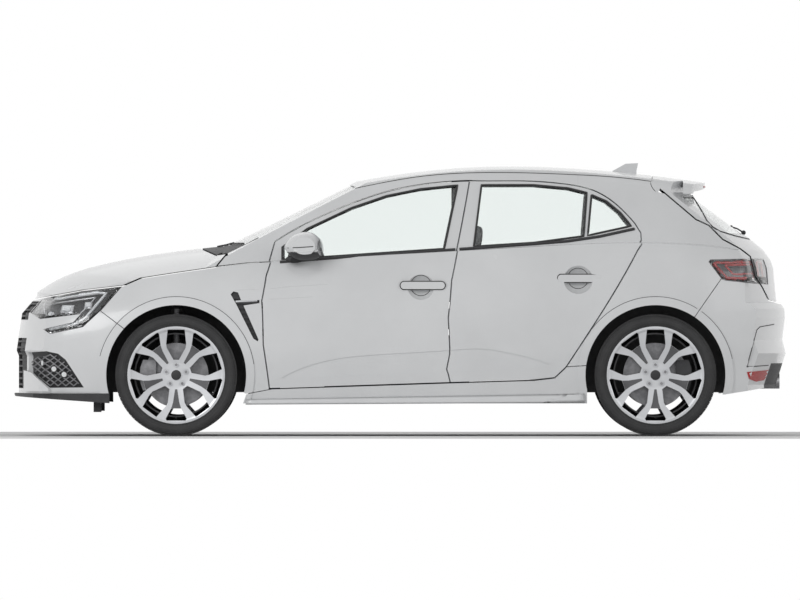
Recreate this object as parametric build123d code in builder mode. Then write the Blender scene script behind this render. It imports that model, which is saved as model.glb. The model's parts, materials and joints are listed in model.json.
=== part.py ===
"""Five-door sports hatchback: an open body shell with hinged doors, bonnet and tailgate, glazed
cabin, seats, running gear and four spoked wheels, the front pair of which steers.

Millimetres. X runs from the nose to the tail, Y to the right-hand side and Z up. The origin is on
the ground in the middle of the car.
"""

import os
from math import asin, cos, hypot, radians, sin, tan

from build123d import *

os.makedirs("parts", exist_ok=True)

# Overall places
FRONT_AXLE_X = -1232
WHEELBASE = 2636
REAR_AXLE_X = FRONT_AXLE_X + WHEELBASE
TYRE_RADIUS = 336
TYRE_WIDTH = 235
TRACK_HALF = 797
ARCH_RADIUS = 385
FLARE_RADIUS = 430
FLARE_PROUD = 9
SILL_EDGE = 180
CABIN_BASE = 850
REACH = 2600

# Walls and gaps
SIDE_WALL = 80
TOP_WALL = 40
END_WALL = 45
CABIN_WALL = 45
SHUT_GAP = 8
SEAM_GAP = 4
SEAT_GAP = 0.3
GLASS_THICK = 5
GLASS_SET_BACK = 6

# Body sections: x, sill half width, widest half width, height of the widest point,
# shoulder half width, shoulder height, height at the centre line
BODY_SECTIONS = (
    (-2150, 560, 640, 450, 520, 640, 680),
    (-2030, 700, 770, 480, 640, 705, 775),
    (-1880, 790, 855, 520, 735, 765, 870),
    (-1650, 835, 900, 560, 790, 820, 945),
    (-1232, 850, 918, 600, 810, 900, 1019),
    (-800, 850, 908, 640, 825, 950, 1060),
    (0, 850, 903, 650, 835, 1000, 1080),
    (800, 850, 905, 670, 838, 1045, 1090),
    (1404, 850, 918, 680, 830, 1060, 1110),
    (1800, 830, 892, 690, 790, 1030, 1100),
    (2000, 790, 840, 690, 735, 1000, 1050),
    (2150, 720, 760, 690, 660, 970, 1010),
)
# Cabin sections: x, base half width, rail half width, rail height, height at the centre line
CABIN_SECTIONS = (
    (-1250, 850, 560, 1310, 1370),
    (-260, 872, 600, 1345, 1402),
    (391, 880, 618, 1425, 1483),
    (1155, 872, 600, 1400, 1462),
    (1700, 850, 560, 1320, 1395),
    (2050, 800, 500, 1240, 1320),
)
CABIN_BULGE = 16
ROOF_EDGE_WIDTH = 62
ROOF_EDGE_DROP = 18
ROOF_EDGE_BULGE = 9

# Windscreen: its foot on the centre line, its slope and its curve in plan
SCREEN_FOOT = (-1002, 1034)
SCREEN_SLOPE = radians(26)
SCREEN_PLAN_RADIUS = 2227

# Centre-line outlines of nose and tail, from the top down: x, z
END_PLAN_RADIUS = 2200
NOSE_OUTLINE = ((-2010, 900), (-2010, 772), (-2094, 675), (-2124, 470), (-2112, 440), (-2112, 100))
TAIL_OUTLINE = (
    (1597, 1600), (1597, 1343), (1616, 1327), (1939, 1085), (2010, 1025), (2050, 970), (2066, 925),
    (2083, 735), (2104, 733), (2128, 700), (2131, 650), (2116, 529), (2135, 455), (2080, 282), (2080, 60),
)


def mirrored(point):
    """The same point of a section on the other side of the centre line."""
    return (-point[0], point[1])


def upright_arc_middle(wide, end):
    """Middle of the arc that leaves the widest point upright and finishes at the end point."""
    inward, rise = wide[0] - end[0], end[1] - wide[1]
    radius = (inward**2 + rise**2) / (2 * inward)
    half_turn = asin(rise / radius) / 2
    return (wide[0] - radius * (1 - cos(half_turn)), wide[1] + radius * sin(half_turn))


def lower_form(side=0, top=0, bottom=SILL_EDGE):
    """Body below the windows, set in by the given depths."""
    with BuildPart() as form:
        for x, w_sill, w_wide, z_wide, w_shoulder, z_shoulder, z_centre in BODY_SECTIONS:
            sill = (w_sill - side, bottom)
            wide = (w_wide - side, z_wide)
            shoulder = (w_shoulder - side, z_shoulder - top)
            low, high = upright_arc_middle(wide, sill), upright_arc_middle(wide, shoulder)
            with BuildSketch(Plane.YZ.offset(x)):
                with BuildLine():
                    Line(mirrored(sill), sill)
                    ThreePointArc(sill, low, wide)
                    ThreePointArc(wide, high, shoulder)
                    ThreePointArc(shoulder, (0, z_centre - top), mirrored(shoulder))
                    ThreePointArc(mirrored(shoulder), mirrored(high), mirrored(wide))
                    ThreePointArc(mirrored(wide), mirrored(low), mirrored(sill))
                make_face()
        loft()
    return form.part


def screen_front(inset=0):
    """Everything ahead of the windscreen, whose face is set in by the given depth."""
    low, high = 800, 1700
    foot_x = SCREEN_FOOT[0] - (SCREEN_FOOT[1] - low) / tan(SCREEN_SLOPE) + inset / sin(SCREEN_SLOPE)
    half = 1200
    edge_x = foot_x + SCREEN_PLAN_RADIUS - (SCREEN_PLAN_RADIUS**2 - half**2) ** 0.5
    with BuildPart() as front:
        with BuildSketch(Plane.XY.offset(low)):
            with BuildLine():
                ThreePointArc((edge_x, -half), (foot_x, 0), (edge_x, half))
                Polyline((edge_x, half), (foot_x - REACH, half), (foot_x - REACH, -half), (edge_x, -half))
            make_face()
        slope = (cos(SCREEN_SLOPE), 0, sin(SCREEN_SLOPE))
        extrude(amount=(high - low) / sin(SCREEN_SLOPE), dir=slope)
    return front.part


def ring_beyond(outline, reach_x, inset):
    """Everything beyond a nose or tail outline that is turned about an upright axis."""
    toward = 1 if reach_x < 0 else -1
    tip = max(abs(x) for x, z in outline)
    axis_x = toward * (END_PLAN_RADIUS - tip)
    with BuildPart() as ring:
        with BuildSketch(Plane.XZ):
            with BuildLine():
                face = [(x + toward * inset, z) for x, z in outline]
                Polyline(*face, (reach_x, outline[-1][1]), (reach_x, outline[0][1]), face[0])
            make_face()
        revolve(axis=Axis((axis_x, 0, 0), (0, 0, 1)))
    return ring.part


def whole_form(side=0, top=0, end=0, cabin=0, screen=0, bottom=SILL_EDGE):
    """Outside of body and cabin together, set in by a depth for each kind of wall."""
    with BuildPart() as form:
        add(cabin_form(cabin, top))
        add(screen_front(screen), mode=Mode.SUBTRACT)
        add(lower_form(side, top, bottom))
        add(ring_beyond(NOSE_OUTLINE, -REACH, end), mode=Mode.SUBTRACT)
        add(ring_beyond(TAIL_OUTLINE, REACH, end), mode=Mode.SUBTRACT)
    return form.part


def cabin_form(side=0, top=0):
    """Roof and side windows, carried on ahead of the windscreen and behind the rear window."""
    with BuildPart() as form:
        for x, w_base, w_rail, z_rail, z_centre in CABIN_SECTIONS:
            base = (w_base - side, CABIN_BASE)
            rail = (w_rail - side, z_rail - top / 2)
            roof = (w_rail - side - ROOF_EDGE_WIDTH, z_centre - ROOF_EDGE_DROP - top)
            glass = ((base[0] + rail[0]) / 2 + CABIN_BULGE, (base[1] + rail[1]) / 2)
            edge = ((rail[0] + roof[0]) / 2 + ROOF_EDGE_BULGE, (rail[1] + roof[1]) / 2 + ROOF_EDGE_BULGE)
            with BuildSketch(Plane.YZ.offset(x)):
                with BuildLine():
                    Line(mirrored(base), base)
                    ThreePointArc(base, glass, rail)
                    ThreePointArc(rail, edge, roof)
                    ThreePointArc(roof, (0, z_centre - top), mirrored(roof))
                    ThreePointArc(mirrored(roof), mirrored(edge), mirrored(rail))
                    ThreePointArc(mirrored(rail), mirrored(glass), mirrored(base))
                make_face()
        loft()
    return form.part



# Lines of the left-hand side as seen from the side: x, z
FRONT_DOOR_EDGE = ((-716, 265), (-750, 502), (-760, 744), (-733, 881), (-667, 1068))
FRONT_DOOR_TOP = ((-667, 1068), (-508, 1162), (-265, 1274), (-77, 1340), (110, 1380), (381, 1402))
MIDDLE_EDGE = ((381, 1402), (316, 1012), (283, 856), (269, 650), (279, 452), (262, 370), (279, 298))
REAR_DOOR_TOP = ((381, 1402), (736, 1399), (923, 1383), (1044, 1357), (1137, 1313), (1221, 1247), (1296, 1168))
REAR_DOOR_EDGE = ((1296, 1168), (1328, 1118), (1331, 1079), (1296, 1024), (908, 381), (848, 325), (736, 312))
BONNET_SIDE = ((-2020, 757), (-1752, 806), (-1525, 832), (-1433, 872), (-1265, 898), (-1017, 934), (-936, 1033))
ROOF_SEAM = ((-262, 1362), (-195, 1376), (110, 1430), (500, 1452), (980, 1439))
ROOF_TAIL = ((980, 1439), (1200, 1425), (1420, 1398))
GATE_EDGE = (
    (1398, 1440), (1390, 1402), (1632, 1196), (1702, 1164), (1778, 1087), (1873, 1036), (1932, 992),
    (1958, 885), (1998, 824), (2037, 751), (2100, 734),
)
FENDER_FRONT = ((-1517, 590), (-1649, 689), (-1525, 829))
HEADLAMP = (
    (-2060, 750), (-1752, 804), (-1525, 829), (-1649, 689), (-1745, 600), (-1926, 562), (-1966, 588),
    (-1800, 626), (-1756, 672), (-1982, 644), (-2060, 690),
)
TAIL_LAMP = ((1696, 959), (1706, 972), (2100, 981), (2100, 833), (2026, 834), (1790, 857), (1766, 866))
FOG_INTAKE = (
    (-2150, 452), (-1946, 467), (-1882, 453), (-1841, 421), (-1741, 268), (-1927, 266), (-1982, 312), (-2150, 380),
)
FENDER_VENT = (
    (-932, 780), (-917, 796), (-892, 790), (-874, 745), (-774, 749), (-774, 732), (-862, 719), (-779, 531),
    (-784, 522), (-807, 537), (-901, 725),
)
SCALLOP_TOP = ((-650, 322), (-452, 403), (-78, 452), (300, 475), (466, 480), (576, 463), (736, 425), (824, 397))
SCALLOP_FOOT = ((824, 397), (736, 372), (-634, 316), (-650, 322))
BUMPER_OUTLET = ((1907, 381), (1962, 584), (1979, 601), (2061, 615), (2200, 615), (2200, 392), (2078, 392))
FRONT_WINDOW_TOP = ((-645, 1040), (-508, 1141), (-265, 1253), (-77, 1319), (110, 1358), (312, 1379))
FRONT_WINDOW_SILL = ((312, 1379), (238, 1032), (-645, 972), (-645, 1040))
REAR_WINDOW_TOP = ((452, 1380), (736, 1378), (923, 1362), (1024, 1338))
REAR_WINDOW_SILL = ((1024, 1338), (1006, 1102), (736, 1068), (409, 1045), (452, 1380))
QUARTER_WINDOW = ((1057, 1324), (1137, 1288), (1209, 1228), (1268, 1158), (1036, 1107))

# Doors swing about upright pins just under the skin, and their edges are cut on a slant
DOOR_SLANT = radians(15)
DOOR_PLANE = 450
SKIN_PROFILE = ((180, 850), (420, 893), (660, 904), (1000, 836), (1400, 612))
FRONT_PIN = (-700, 892)
REAR_PIN = (330, 892)
PIN_RADIUS = 4
HINGE_HEIGHTS = (570, 720)
LEAF_HEIGHT = 24

# Bonnet and tailgate swing about cross pins: x, z
BONNET_AXIS = (-1000, 985)
BONNET_PIN_Y = 560
GATE_AXIS = (1460, 1410)
GATE_PIN_Y = 250
LID_PIN_RADIUS = 5
ARM_WIDTH = 20

# Round room about the pins for the edges that swing inwards: low and high end, radius
FRONT_DOOR_SWEEP = ((262, 800, 122), (800, 935, 142))
REAR_DOOR_SWEEP = ((262, 800, 125),)
# inner and outer half width, highest point, radius
BONNET_SWEEP = (590, 760, 1004, 54)
GATE_SWEEP = (290, 600, 1402, 83)


def skin_half_width(z):
    """Half width of the body side at a height."""
    pairs = zip(SKIN_PROFILE, SKIN_PROFILE[1:])
    for (z_low, w_low), (z_high, w_high) in pairs:
        if z <= z_high:
            break
    return w_low + (w_high - w_low) * (z - z_low) / (z_high - z_low)


def trace(segments):
    """Draw a closed outline from smooth and straight runs."""
    for smooth, points in segments:
        if smooth:
            Spline(*points)
        else:
            Polyline(*points)


def outward(start, end):
    """Unit normal on the right-hand side of a line."""
    length = hypot(end[0] - start[0], end[1] - start[1])
    return ((end[1] - start[1]) / length, (start[0] - end[0]) / length)


def grown(segments, amount):
    """The same outline moved outwards by an amount, corner by corner."""
    ring = [point for smooth, points in segments for point in points[:-1]]
    following = ring[1:] + ring[:1]
    area = sum(a[0] * b[1] - b[0] * a[1] for a, b in zip(ring, following))
    shift = amount if area > 0 else -amount
    moved = []
    for before, here, after in zip(ring[-1:] + ring[:-1], ring, following):
        n, m = outward(before, here), outward(here, after)
        scale = shift / (1 + n[0] * m[0] + n[1] * m[1])
        moved.append((here[0] + scale * (n[0] + m[0]), here[1] + scale * (n[1] + m[1])))
    result = []
    start = 0
    for smooth, points in segments:
        stop = start + len(points)
        result.append((smooth, (moved + moved[:1])[start:stop]))
        start = stop - 1
    return result


def side_prism(segments, grow=0):
    """An outline of the side view carried right across the car."""
    with BuildPart() as prism:
        with BuildSketch(Plane.XZ):
            with BuildLine():
                trace(grown(segments, grow))
            make_face()
        extrude(amount=1200, both=True)
    return prism.part


def closed(*runs):
    """One straight-sided outline through runs of points, closed on itself."""
    points = [point for run in runs for point in run]
    return ((False, (*points, points[0])),)


def door_prism(segments, grow=0):
    """A door outline carried through the left side along the slant of its edges."""
    slanted = []
    for smooth, points in segments:
        run = [(x + (DOOR_PLANE - skin_half_width(z)) * tan(DOOR_SLANT), z) for x, z in points]
        slanted.append((smooth, run))
    with BuildPart() as prism:
        with BuildSketch(Plane.XZ.offset(DOOR_PLANE)):
            with BuildLine():
                trace(grown(slanted, grow))
            make_face()
        extrude(amount=600, dir=(sin(DOOR_SLANT), -cos(DOOR_SLANT), 0))
    return prism.part


FRONT_DOOR = (
    (False, FRONT_DOOR_EDGE),
    (True, FRONT_DOOR_TOP),
    (False, MIDDLE_EDGE),
    (False, (MIDDLE_EDGE[-1], FRONT_DOOR_EDGE[0])),
)
REAR_DOOR = (
    (True, REAR_DOOR_TOP),
    (False, REAR_DOOR_EDGE),
    (False, (REAR_DOOR_EDGE[-1], MIDDLE_EDGE[-1])),
    (False, MIDDLE_EDGE[::-1]),
)


def band_between(front, back, *limits):
    """A thin layer that lies behind one face and ahead of another, within the given forms."""
    with BuildPart() as band:
        add(back)
        add(front, mode=Mode.SUBTRACT)
        for limit in limits:
            add(limit, mode=Mode.INTERSECT)
    return band.part


def common(*forms):
    """What several forms have in common."""
    with BuildPart() as shared:
        add(forms[0])
        for form in forms[1:]:
            add(form, mode=Mode.INTERSECT)
    return shared.part


def less(form, *cutters):
    """A form with others cut away from it."""
    with BuildPart() as rest:
        add(form)
        add(cutters, mode=Mode.SUBTRACT)
    return rest.part


def block(x, y, z):
    """A box between two limits on each axis."""
    with BuildPart() as box:
        with Locations(((x[0] + x[1]) / 2, (y[0] + y[1]) / 2, (z[0] + z[1]) / 2)):
            Box(x[1] - x[0], y[1] - y[0], z[1] - z[0])
    return box.part


def shrunk(limits, amount):
    """Limits of a block drawn in by an amount on every side."""
    return [(low + amount, high - amount) for low, high in limits]


def both_sides(form):
    """A left-hand form and its mirror image."""
    with BuildPart() as pair:
        add(form)
        mirror(form, about=Plane.XZ)
    return pair.part


def right_hand(form):
    """The mirror image of a left-hand form."""
    with BuildPart() as image:
        mirror(form, about=Plane.XZ)
    return image.part


def largest(form):
    """The main solid of a form, without slivers."""
    return max(form.solids(), key=lambda solid: solid.volume)


# Openings of the cabin
PILLAR_WIDTH = 50
HEADER_LIP = 12
SCREEN_LOW = 1052
GATE_PILLAR = 110
GATE_GLASS = (1112, 1318)
GATE_SET_BACK = GLASS_SET_BACK / sin(radians(36.8))
GATE_THICK = GLASS_THICK / sin(radians(36.8))

with BuildPart() as flared:
    with Locations((FRONT_AXLE_X, 0, TYRE_RADIUS), (REAR_AXLE_X, 0, TYRE_RADIUS)):
        Cylinder(FLARE_RADIUS, 2400, rotation=(90, 0, 0))
    add(lower_form(-FLARE_PROUD), mode=Mode.INTERSECT)
    add(whole_form())
outer = flared.part
inner = whole_form(SIDE_WALL, TOP_WALL, END_WALL, CABIN_WALL, 55, bottom=0)
everywhere = 3000
above_screen = block((-REACH, REACH), (-everywhere, everywhere), (SCREEN_LOW, 1700))
screen_hole = common(screen_front(75), cabin_form(PILLAR_WIDTH, HEADER_LIP), above_screen)

with BuildPart() as wall:
    add(outer)
    add(inner, mode=Mode.SUBTRACT)
    with Locations((FRONT_AXLE_X, 0, TYRE_RADIUS), (REAR_AXLE_X, 0, TYRE_RADIUS)):
        Cylinder(ARCH_RADIUS, 2400, rotation=(90, 0, 0), mode=Mode.SUBTRACT)
    add(screen_hole, mode=Mode.SUBTRACT)
shell = wall.part
left_side = block((-REACH, REACH), (-1500, 0), (0, 1700))
left_shell = common(shell, left_side)

# Cutters for the panels that open
FRONT_DOOR_CUT = door_prism(FRONT_DOOR, SHUT_GAP)
REAR_DOOR_CUT = door_prism(REAR_DOOR, SHUT_GAP)
DOOR_CUTS = (FRONT_DOOR_CUT, REAR_DOOR_CUT)

BONNET_REAR = (-1110, -945, 720)
COWL_GAP = 16


def behind_bonnet(shift=0):
    """Everything behind the curved rear edge of the bonnet."""
    x_mid, x_side, y_side = BONNET_REAR
    with BuildPart() as behind:
        with BuildSketch(Plane.XY.offset(700)):
            with BuildLine():
                ThreePointArc((x_side + shift, -y_side), (x_mid + shift, 0), (x_side + shift, y_side))
                Polyline(
                    (x_side + shift, y_side), (x_side + 60, 1000), (REACH, 1000), (REACH, -1000),
                    (x_side + 60, -1000), (x_side + shift, -y_side),
                )
            make_face()
        extrude(amount=700)
    return behind.part


BONNET = closed(BONNET_SIDE, ((-936, 1300), (-2400, 1300), (-2400, 757)))
GATE = closed(GATE_EDGE, ((2400, 734), (2400, 1700), (1398, 1700)))
bonnet_zone = less(side_prism(BONNET), behind_bonnet())
bonnet_cut = less(side_prism(BONNET, SHUT_GAP), behind_bonnet(COWL_GAP))
gate_zone = side_prism(GATE)
gate_cut = side_prism(GATE, SHUT_GAP)

NOSE_SIDE = 455
headlamp_zone = less(
    side_prism(closed(HEADLAMP)), block((-REACH, 0), (-NOSE_SIDE, NOSE_SIDE), (0, 1000))
)
headlamp_hole = less(
    side_prism(closed(HEADLAMP), SEAT_GAP),
    block((-REACH, 0), (SEAT_GAP - NOSE_SIDE, NOSE_SIDE - SEAT_GAP), (0, 1000)),
)
lamp_zone = side_prism(closed(TAIL_LAMP))
lamp_hole = side_prism(closed(TAIL_LAMP), SEAT_GAP)
FOG_SIDE = 520
fog_zone = less(side_prism(closed(FOG_INTAKE)), block((-REACH, 0), (-FOG_SIDE, FOG_SIDE), (0, 1000)))
fog_hole = less(
    side_prism(closed(FOG_INTAKE), SEAT_GAP),
    block((-REACH, 0), (SEAT_GAP - FOG_SIDE, FOG_SIDE - SEAT_GAP), (0, 1000)),
)
VENT_DEPTH = 14
INTAKE_DEPTH = 25
SCALLOP_DEPTH = 6
vent_hole = side_prism(closed(FENDER_VENT), SEAT_GAP)
vent_floor = lower_form(VENT_DEPTH)
intake_floor = lower_form(INTAKE_DEPTH)
scallop_floor = lower_form(SCALLOP_DEPTH)
scallop = less(side_prism(((True, SCALLOP_TOP), (False, SCALLOP_FOOT))), scallop_floor)
outlet = less(side_prism(closed(BUMPER_OUTLET)), scallop_floor)


def pin_room(pin, sweeps):
    """The round space that a door's leading edge sweeps about its upright pin, on both sides."""
    with BuildPart() as room:
        for low, high, radius in sweeps:
            with Locations((pin[0], -pin[1], (low + high) / 2), (pin[0], pin[1], (low + high) / 2)):
                Cylinder(radius, high - low)
    return room.part


def lid_room(axis, sweep):
    """The round space under a height that a lid's edge sweeps about its cross pin, on both sides."""
    y_in, y_out, top, radius = sweep
    middle = (y_in + y_out) / 2
    with BuildPart() as room:
        with Locations((axis[0], -middle, axis[1]), (axis[0], middle, axis[1])):
            Cylinder(radius, y_out - y_in, rotation=(90, 0, 0))
        add(block((-REACH, REACH), (-y_out, y_out), (0, top)), mode=Mode.INTERSECT)
    return room.part


bonnet_room = lid_room(BONNET_AXIS, BONNET_SWEEP)
gate_room = lid_room(GATE_AXIS, GATE_SWEEP)


def side_panels(outline, *cuts):
    """A pair of fixed body panels with half a seam along their edges."""
    return both_sides(less(common(left_shell, side_prism(outline, -SEAM_GAP / 2)), *cuts))


# Body panels
parts = {}

ROOF_SIDE = (
    (True, ROOF_SEAM),
    (True, ROOF_TAIL),
    (False, (ROOF_TAIL[-1], (1420, 1600), (-262, 1600), ROOF_SEAM[0])),
)
ROOF_MIDDLE = ((-300, 1500), (-430, 430), (1250, 1600))
with BuildPart() as roof_zone:
    add(side_prism(ROOF_SIDE, -SEAM_GAP / 2))
    add(block(*shrunk(ROOF_MIDDLE, SEAT_GAP)))
with BuildPart() as roof_panel:
    add(largest(less(common(shell, roof_zone.part), gate_cut, gate_room)))
parts["roof_panel"] = roof_panel.part
roof_middle = block(*ROOF_MIDDLE)

FENDER_TOP = ((-1017, 934), (-839, 954), (-690, 960))
RAIL_END = 980
RAIL_MEET = RAIL_END + SEAM_GAP / 2 - SEAT_GAP / 2
QUARTER_MEET = RAIL_END - SEAM_GAP / 2 + SEAT_GAP / 2
RAIL_TOP = (RAIL_MEET, ROOF_SEAM[-1][1])
cowl_room = block((-1300, -780), (-690, 690), (900, 1200))
PILLAR = (
    (False, (*FENDER_TOP, (-600, 1050), (RAIL_MEET, 1300), RAIL_TOP)),
    (True, (RAIL_TOP, *ROOF_SEAM[-2::-1])),
    (False, (ROOF_SEAM[0], (-262, 1420), (-1010, 1080), FENDER_TOP[0])),
)
with BuildPart() as roof_rails:
    add(side_panels(PILLAR, cowl_room, roof_middle, bonnet_cut, bonnet_room, *DOOR_CUTS))
parts["roof_rails"] = roof_rails.part

with BuildPart() as cowl_panel:
    room = block((-1300, -780 - SEAT_GAP), (SEAT_GAP - 690, 690 - SEAT_GAP), (900, 1200))
    add(less(common(shell, room), bonnet_cut, bonnet_room))
    for y in (-BONNET_PIN_Y, BONNET_PIN_Y):
        room = (y - 2 * ARM_WIDTH, y + 2 * ARM_WIDTH)
        add(block((BONNET_AXIS[0] - ARM_WIDTH, BONNET_AXIS[0] + ARM_WIDTH), room, (800, 1010)), mode=Mode.SUBTRACT)
parts["cowl_panel"] = cowl_panel.part

FENDER = closed(
    ((FRONT_AXLE_X, TYRE_RADIUS), *FENDER_FRONT[:2], *BONNET_SIDE[2:6], *FENDER_TOP[1:], (-690, 262), (-848, 232))
)
with BuildPart() as front_fenders:
    add(side_panels(FENDER, cowl_room, bonnet_cut, headlamp_hole, vent_hole, FRONT_DOOR_CUT))
parts["front_fenders"] = front_fenders.part

VENT_FINS = (540, 760, 27)
vent_block = less(common(left_shell, side_prism(closed(FENDER_VENT))), FRONT_DOOR_CUT)
with BuildPart() as fender_vents:
    for z in range(*VENT_FINS):
        add(block((-1000, -700), (-1200, -600), (z, z + 7)))
    add(vent_block, mode=Mode.INTERSECT)
    add(common(vent_block, vent_floor))
parts["fender_vents"] = both_sides(fender_vents.part)

SILL = closed(
    ((-870, 170), (-848, 232), (-690, 262), (-600, 330), (279, 360), (736, 380), (908, 381), (1030, 389), (1030, 170))
)
with BuildPart() as sill_panels:
    add(side_panels(SILL, *DOOR_CUTS))
parts["sill_panels"] = sill_panels.part

QUARTER_FOOT = ((1766, 866), (1622, 660), (REAR_AXLE_X, TYRE_RADIUS), (1030, 389), (908, 381))
QUARTER_TOP = (QUARTER_MEET, ROOF_SEAM[-1][1])
QUARTER = (
    (False, ((QUARTER_MEET, 600), QUARTER_TOP)),
    (True, (QUARTER_TOP, *ROOF_TAIL[1:])),
    (False, (ROOF_TAIL[-1], (1640, 1210), (1960, 1000), (1960, 866), *QUARTER_FOOT, (QUARTER_MEET, 600))),
)
with BuildPart() as quarter_panels:
    add(side_panels(QUARTER, gate_cut, lamp_hole, roof_middle, REAR_DOOR_CUT, gate_room))
parts["quarter_panels"] = quarter_panels.part

BUMPER_LOW = 235
BUMPER_FOOT = BUMPER_LOW - SEAM_GAP / 2
FRONT_BUMPER = closed(
    ((-2400, BUMPER_FOOT), (-1560, BUMPER_FOOT), (FRONT_AXLE_X, TYRE_RADIUS), *FENDER_FRONT[:2], (-1660, 780),
     (-2020, 757), (-2400, 757))
)
GRILLE = ((-2200, -1900), (-440, 440), (640, 742))
LOWER_GRILLE = ((-2200, -1900), (-480, 480), (262, 540))


with BuildPart() as front_bumper:
    add(
        less(
            common(shell, side_prism(FRONT_BUMPER, -SEAM_GAP / 2)), bonnet_cut, headlamp_hole, fog_hole,
            block(*GRILLE), block(*LOWER_GRILLE),
        )
    )
parts["front_bumper"] = front_bumper.part

with BuildPart() as headlamps:
    add(both_sides(less(common(left_shell, headlamp_zone), bonnet_cut)))
parts["headlamps"] = headlamps.part

with BuildPart() as fog_intakes:
    add(common(left_shell, fog_zone, intake_floor))
    add(ring_beyond(NOSE_OUTLINE, -REACH, INTAKE_DEPTH), mode=Mode.SUBTRACT)
parts["fog_intakes"] = both_sides(fog_intakes.part)

GRILLE_DEPTH = 20
SLAT_STEP = 34
SLAT_HEIGHT = 10
nose_recess = ring_beyond(NOSE_OUTLINE, -REACH, GRILLE_DEPTH)
with BuildPart() as grilles:
    for opening in (GRILLE, LOWER_GRILLE):
        (x0, x1), (y0, y1), (z0, z1) = shrunk(opening, SEAT_GAP)
        plate = common(shell, block((x0, x1), (y0, y1), (z0, z1)))
        slats = [block((x0, x1), (y0, y1), (z, z + SLAT_HEIGHT)) for z in range(int(z0) + 16, int(z1), SLAT_STEP)]
        add(less(plate, nose_recess))
        rib = block((x0, x1), (-SLAT_HEIGHT, SLAT_HEIGHT), (z0, z1))
        for bar in (*slats, rib):
            add(common(plate, bar))
parts["grilles"] = grilles.part

REAR_LOW = 227
REAR_BUMPER = closed(
    ((REAR_AXLE_X, TYRE_RADIUS), *QUARTER_FOOT[1::-1], (1790, 857), (2026, 834), (2400, 834), (2400, 326),
     (1786, REAR_LOW), (1740, REAR_LOW))
)
DIFFUSER = ((1850, 2300), (-560, 560), (264, 400))
with BuildPart() as rear_bumper:
    add(less(common(shell, side_prism(REAR_BUMPER, -SEAM_GAP / 2)), gate_cut, lamp_hole, outlet, block(*DIFFUSER)))
parts["rear_bumper"] = rear_bumper.part

with BuildPart() as rear_diffuser:
    add(common(shell, block(*shrunk(DIFFUSER, SEAT_GAP))))
parts["rear_diffuser"] = rear_diffuser.part

with BuildPart() as tail_lamps:
    add(both_sides(less(common(left_shell, lamp_zone), gate_cut)))
parts["tail_lamps"] = tail_lamps.part


# Bonnet and tailgate


def lid_pin(axis, y, room=0):
    """A cross pin on one side, with its place given as x and z, and room about it for a bearing hole."""
    with BuildPart() as pin:
        with Locations((axis[0], y, axis[1])):
            Cylinder(LID_PIN_RADIUS + room, 2.6 * ARM_WIDTH + 2 * room, rotation=(90, 0, 0))
    return pin.part


with BuildPart() as bonnet:
    add(common(shell, bonnet_zone))
    for y in (-BONNET_PIN_Y, BONNET_PIN_Y):
        slot = (y - ARM_WIDTH / 2 - 5, y + ARM_WIDTH / 2 + 5)
        add(block((BONNET_AXIS[0] - 16, -900), slot, (800, BONNET_AXIS[1] + 9)), mode=Mode.SUBTRACT)
        add(lid_pin(BONNET_AXIS, y, SEAT_GAP), mode=Mode.SUBTRACT)
parts["bonnet"] = bonnet.part

with BuildPart() as rear_window_room:
    add(ring_beyond(TAIL_OUTLINE, REACH, 120))
    add(cabin_form(GATE_PILLAR, 0), mode=Mode.INTERSECT)
    add(block((1500, REACH), (-everywhere, everywhere), GATE_GLASS), mode=Mode.INTERSECT)
gate_wall = common(shell, gate_zone)
gate_lamp_zone = less(lamp_zone, block((0, REACH), (-420, 420), (0, 1700)))
gate_lamp_hole = less(lamp_hole, block((0, REACH), (SEAT_GAP - 420, 420 - SEAT_GAP), (0, 1700)))
with BuildPart() as tailgate:
    add(less(gate_wall, rear_window_room.part, gate_lamp_hole))
    for y in (-GATE_PIN_Y, GATE_PIN_Y):
        slot = (y - ARM_WIDTH / 2 - 5, y + ARM_WIDTH / 2 + 5)
        add(block((1350, GATE_AXIS[0] + 16), slot, (1200, GATE_AXIS[1] + 8)), mode=Mode.SUBTRACT)
        add(lid_pin(GATE_AXIS, y, SEAT_GAP), mode=Mode.SUBTRACT)
parts["tailgate"] = tailgate.part

with BuildPart() as tailgate_glass:
    add(
        band_between(
            ring_beyond(TAIL_OUTLINE, REACH, GATE_SET_BACK),
            ring_beyond(TAIL_OUTLINE, REACH, GATE_SET_BACK + GATE_THICK),
            cabin_form(GATE_PILLAR + SEAT_GAP, 0),
            block((1500, REACH), (-everywhere, everywhere), (GATE_GLASS[0] + SEAT_GAP, GATE_GLASS[1] - SEAT_GAP)),
        )
    )
parts["tailgate_glass"] = tailgate_glass.part

with BuildPart() as tailgate_lamps:
    add(common(gate_wall, gate_lamp_zone))
parts["tailgate_lamps"] = tailgate_lamps.part

with BuildPart() as windscreen:
    add(
        band_between(
            screen_front(GLASS_SET_BACK),
            screen_front(GLASS_SET_BACK + GLASS_THICK),
            cabin_form(PILLAR_WIDTH + SEAT_GAP, HEADER_LIP + SEAT_GAP),
            block((-REACH, REACH), (-everywhere, everywhere), (SCREEN_LOW + SEAT_GAP, 1700)),
        )
    )
parts["windscreen"] = windscreen.part

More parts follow.
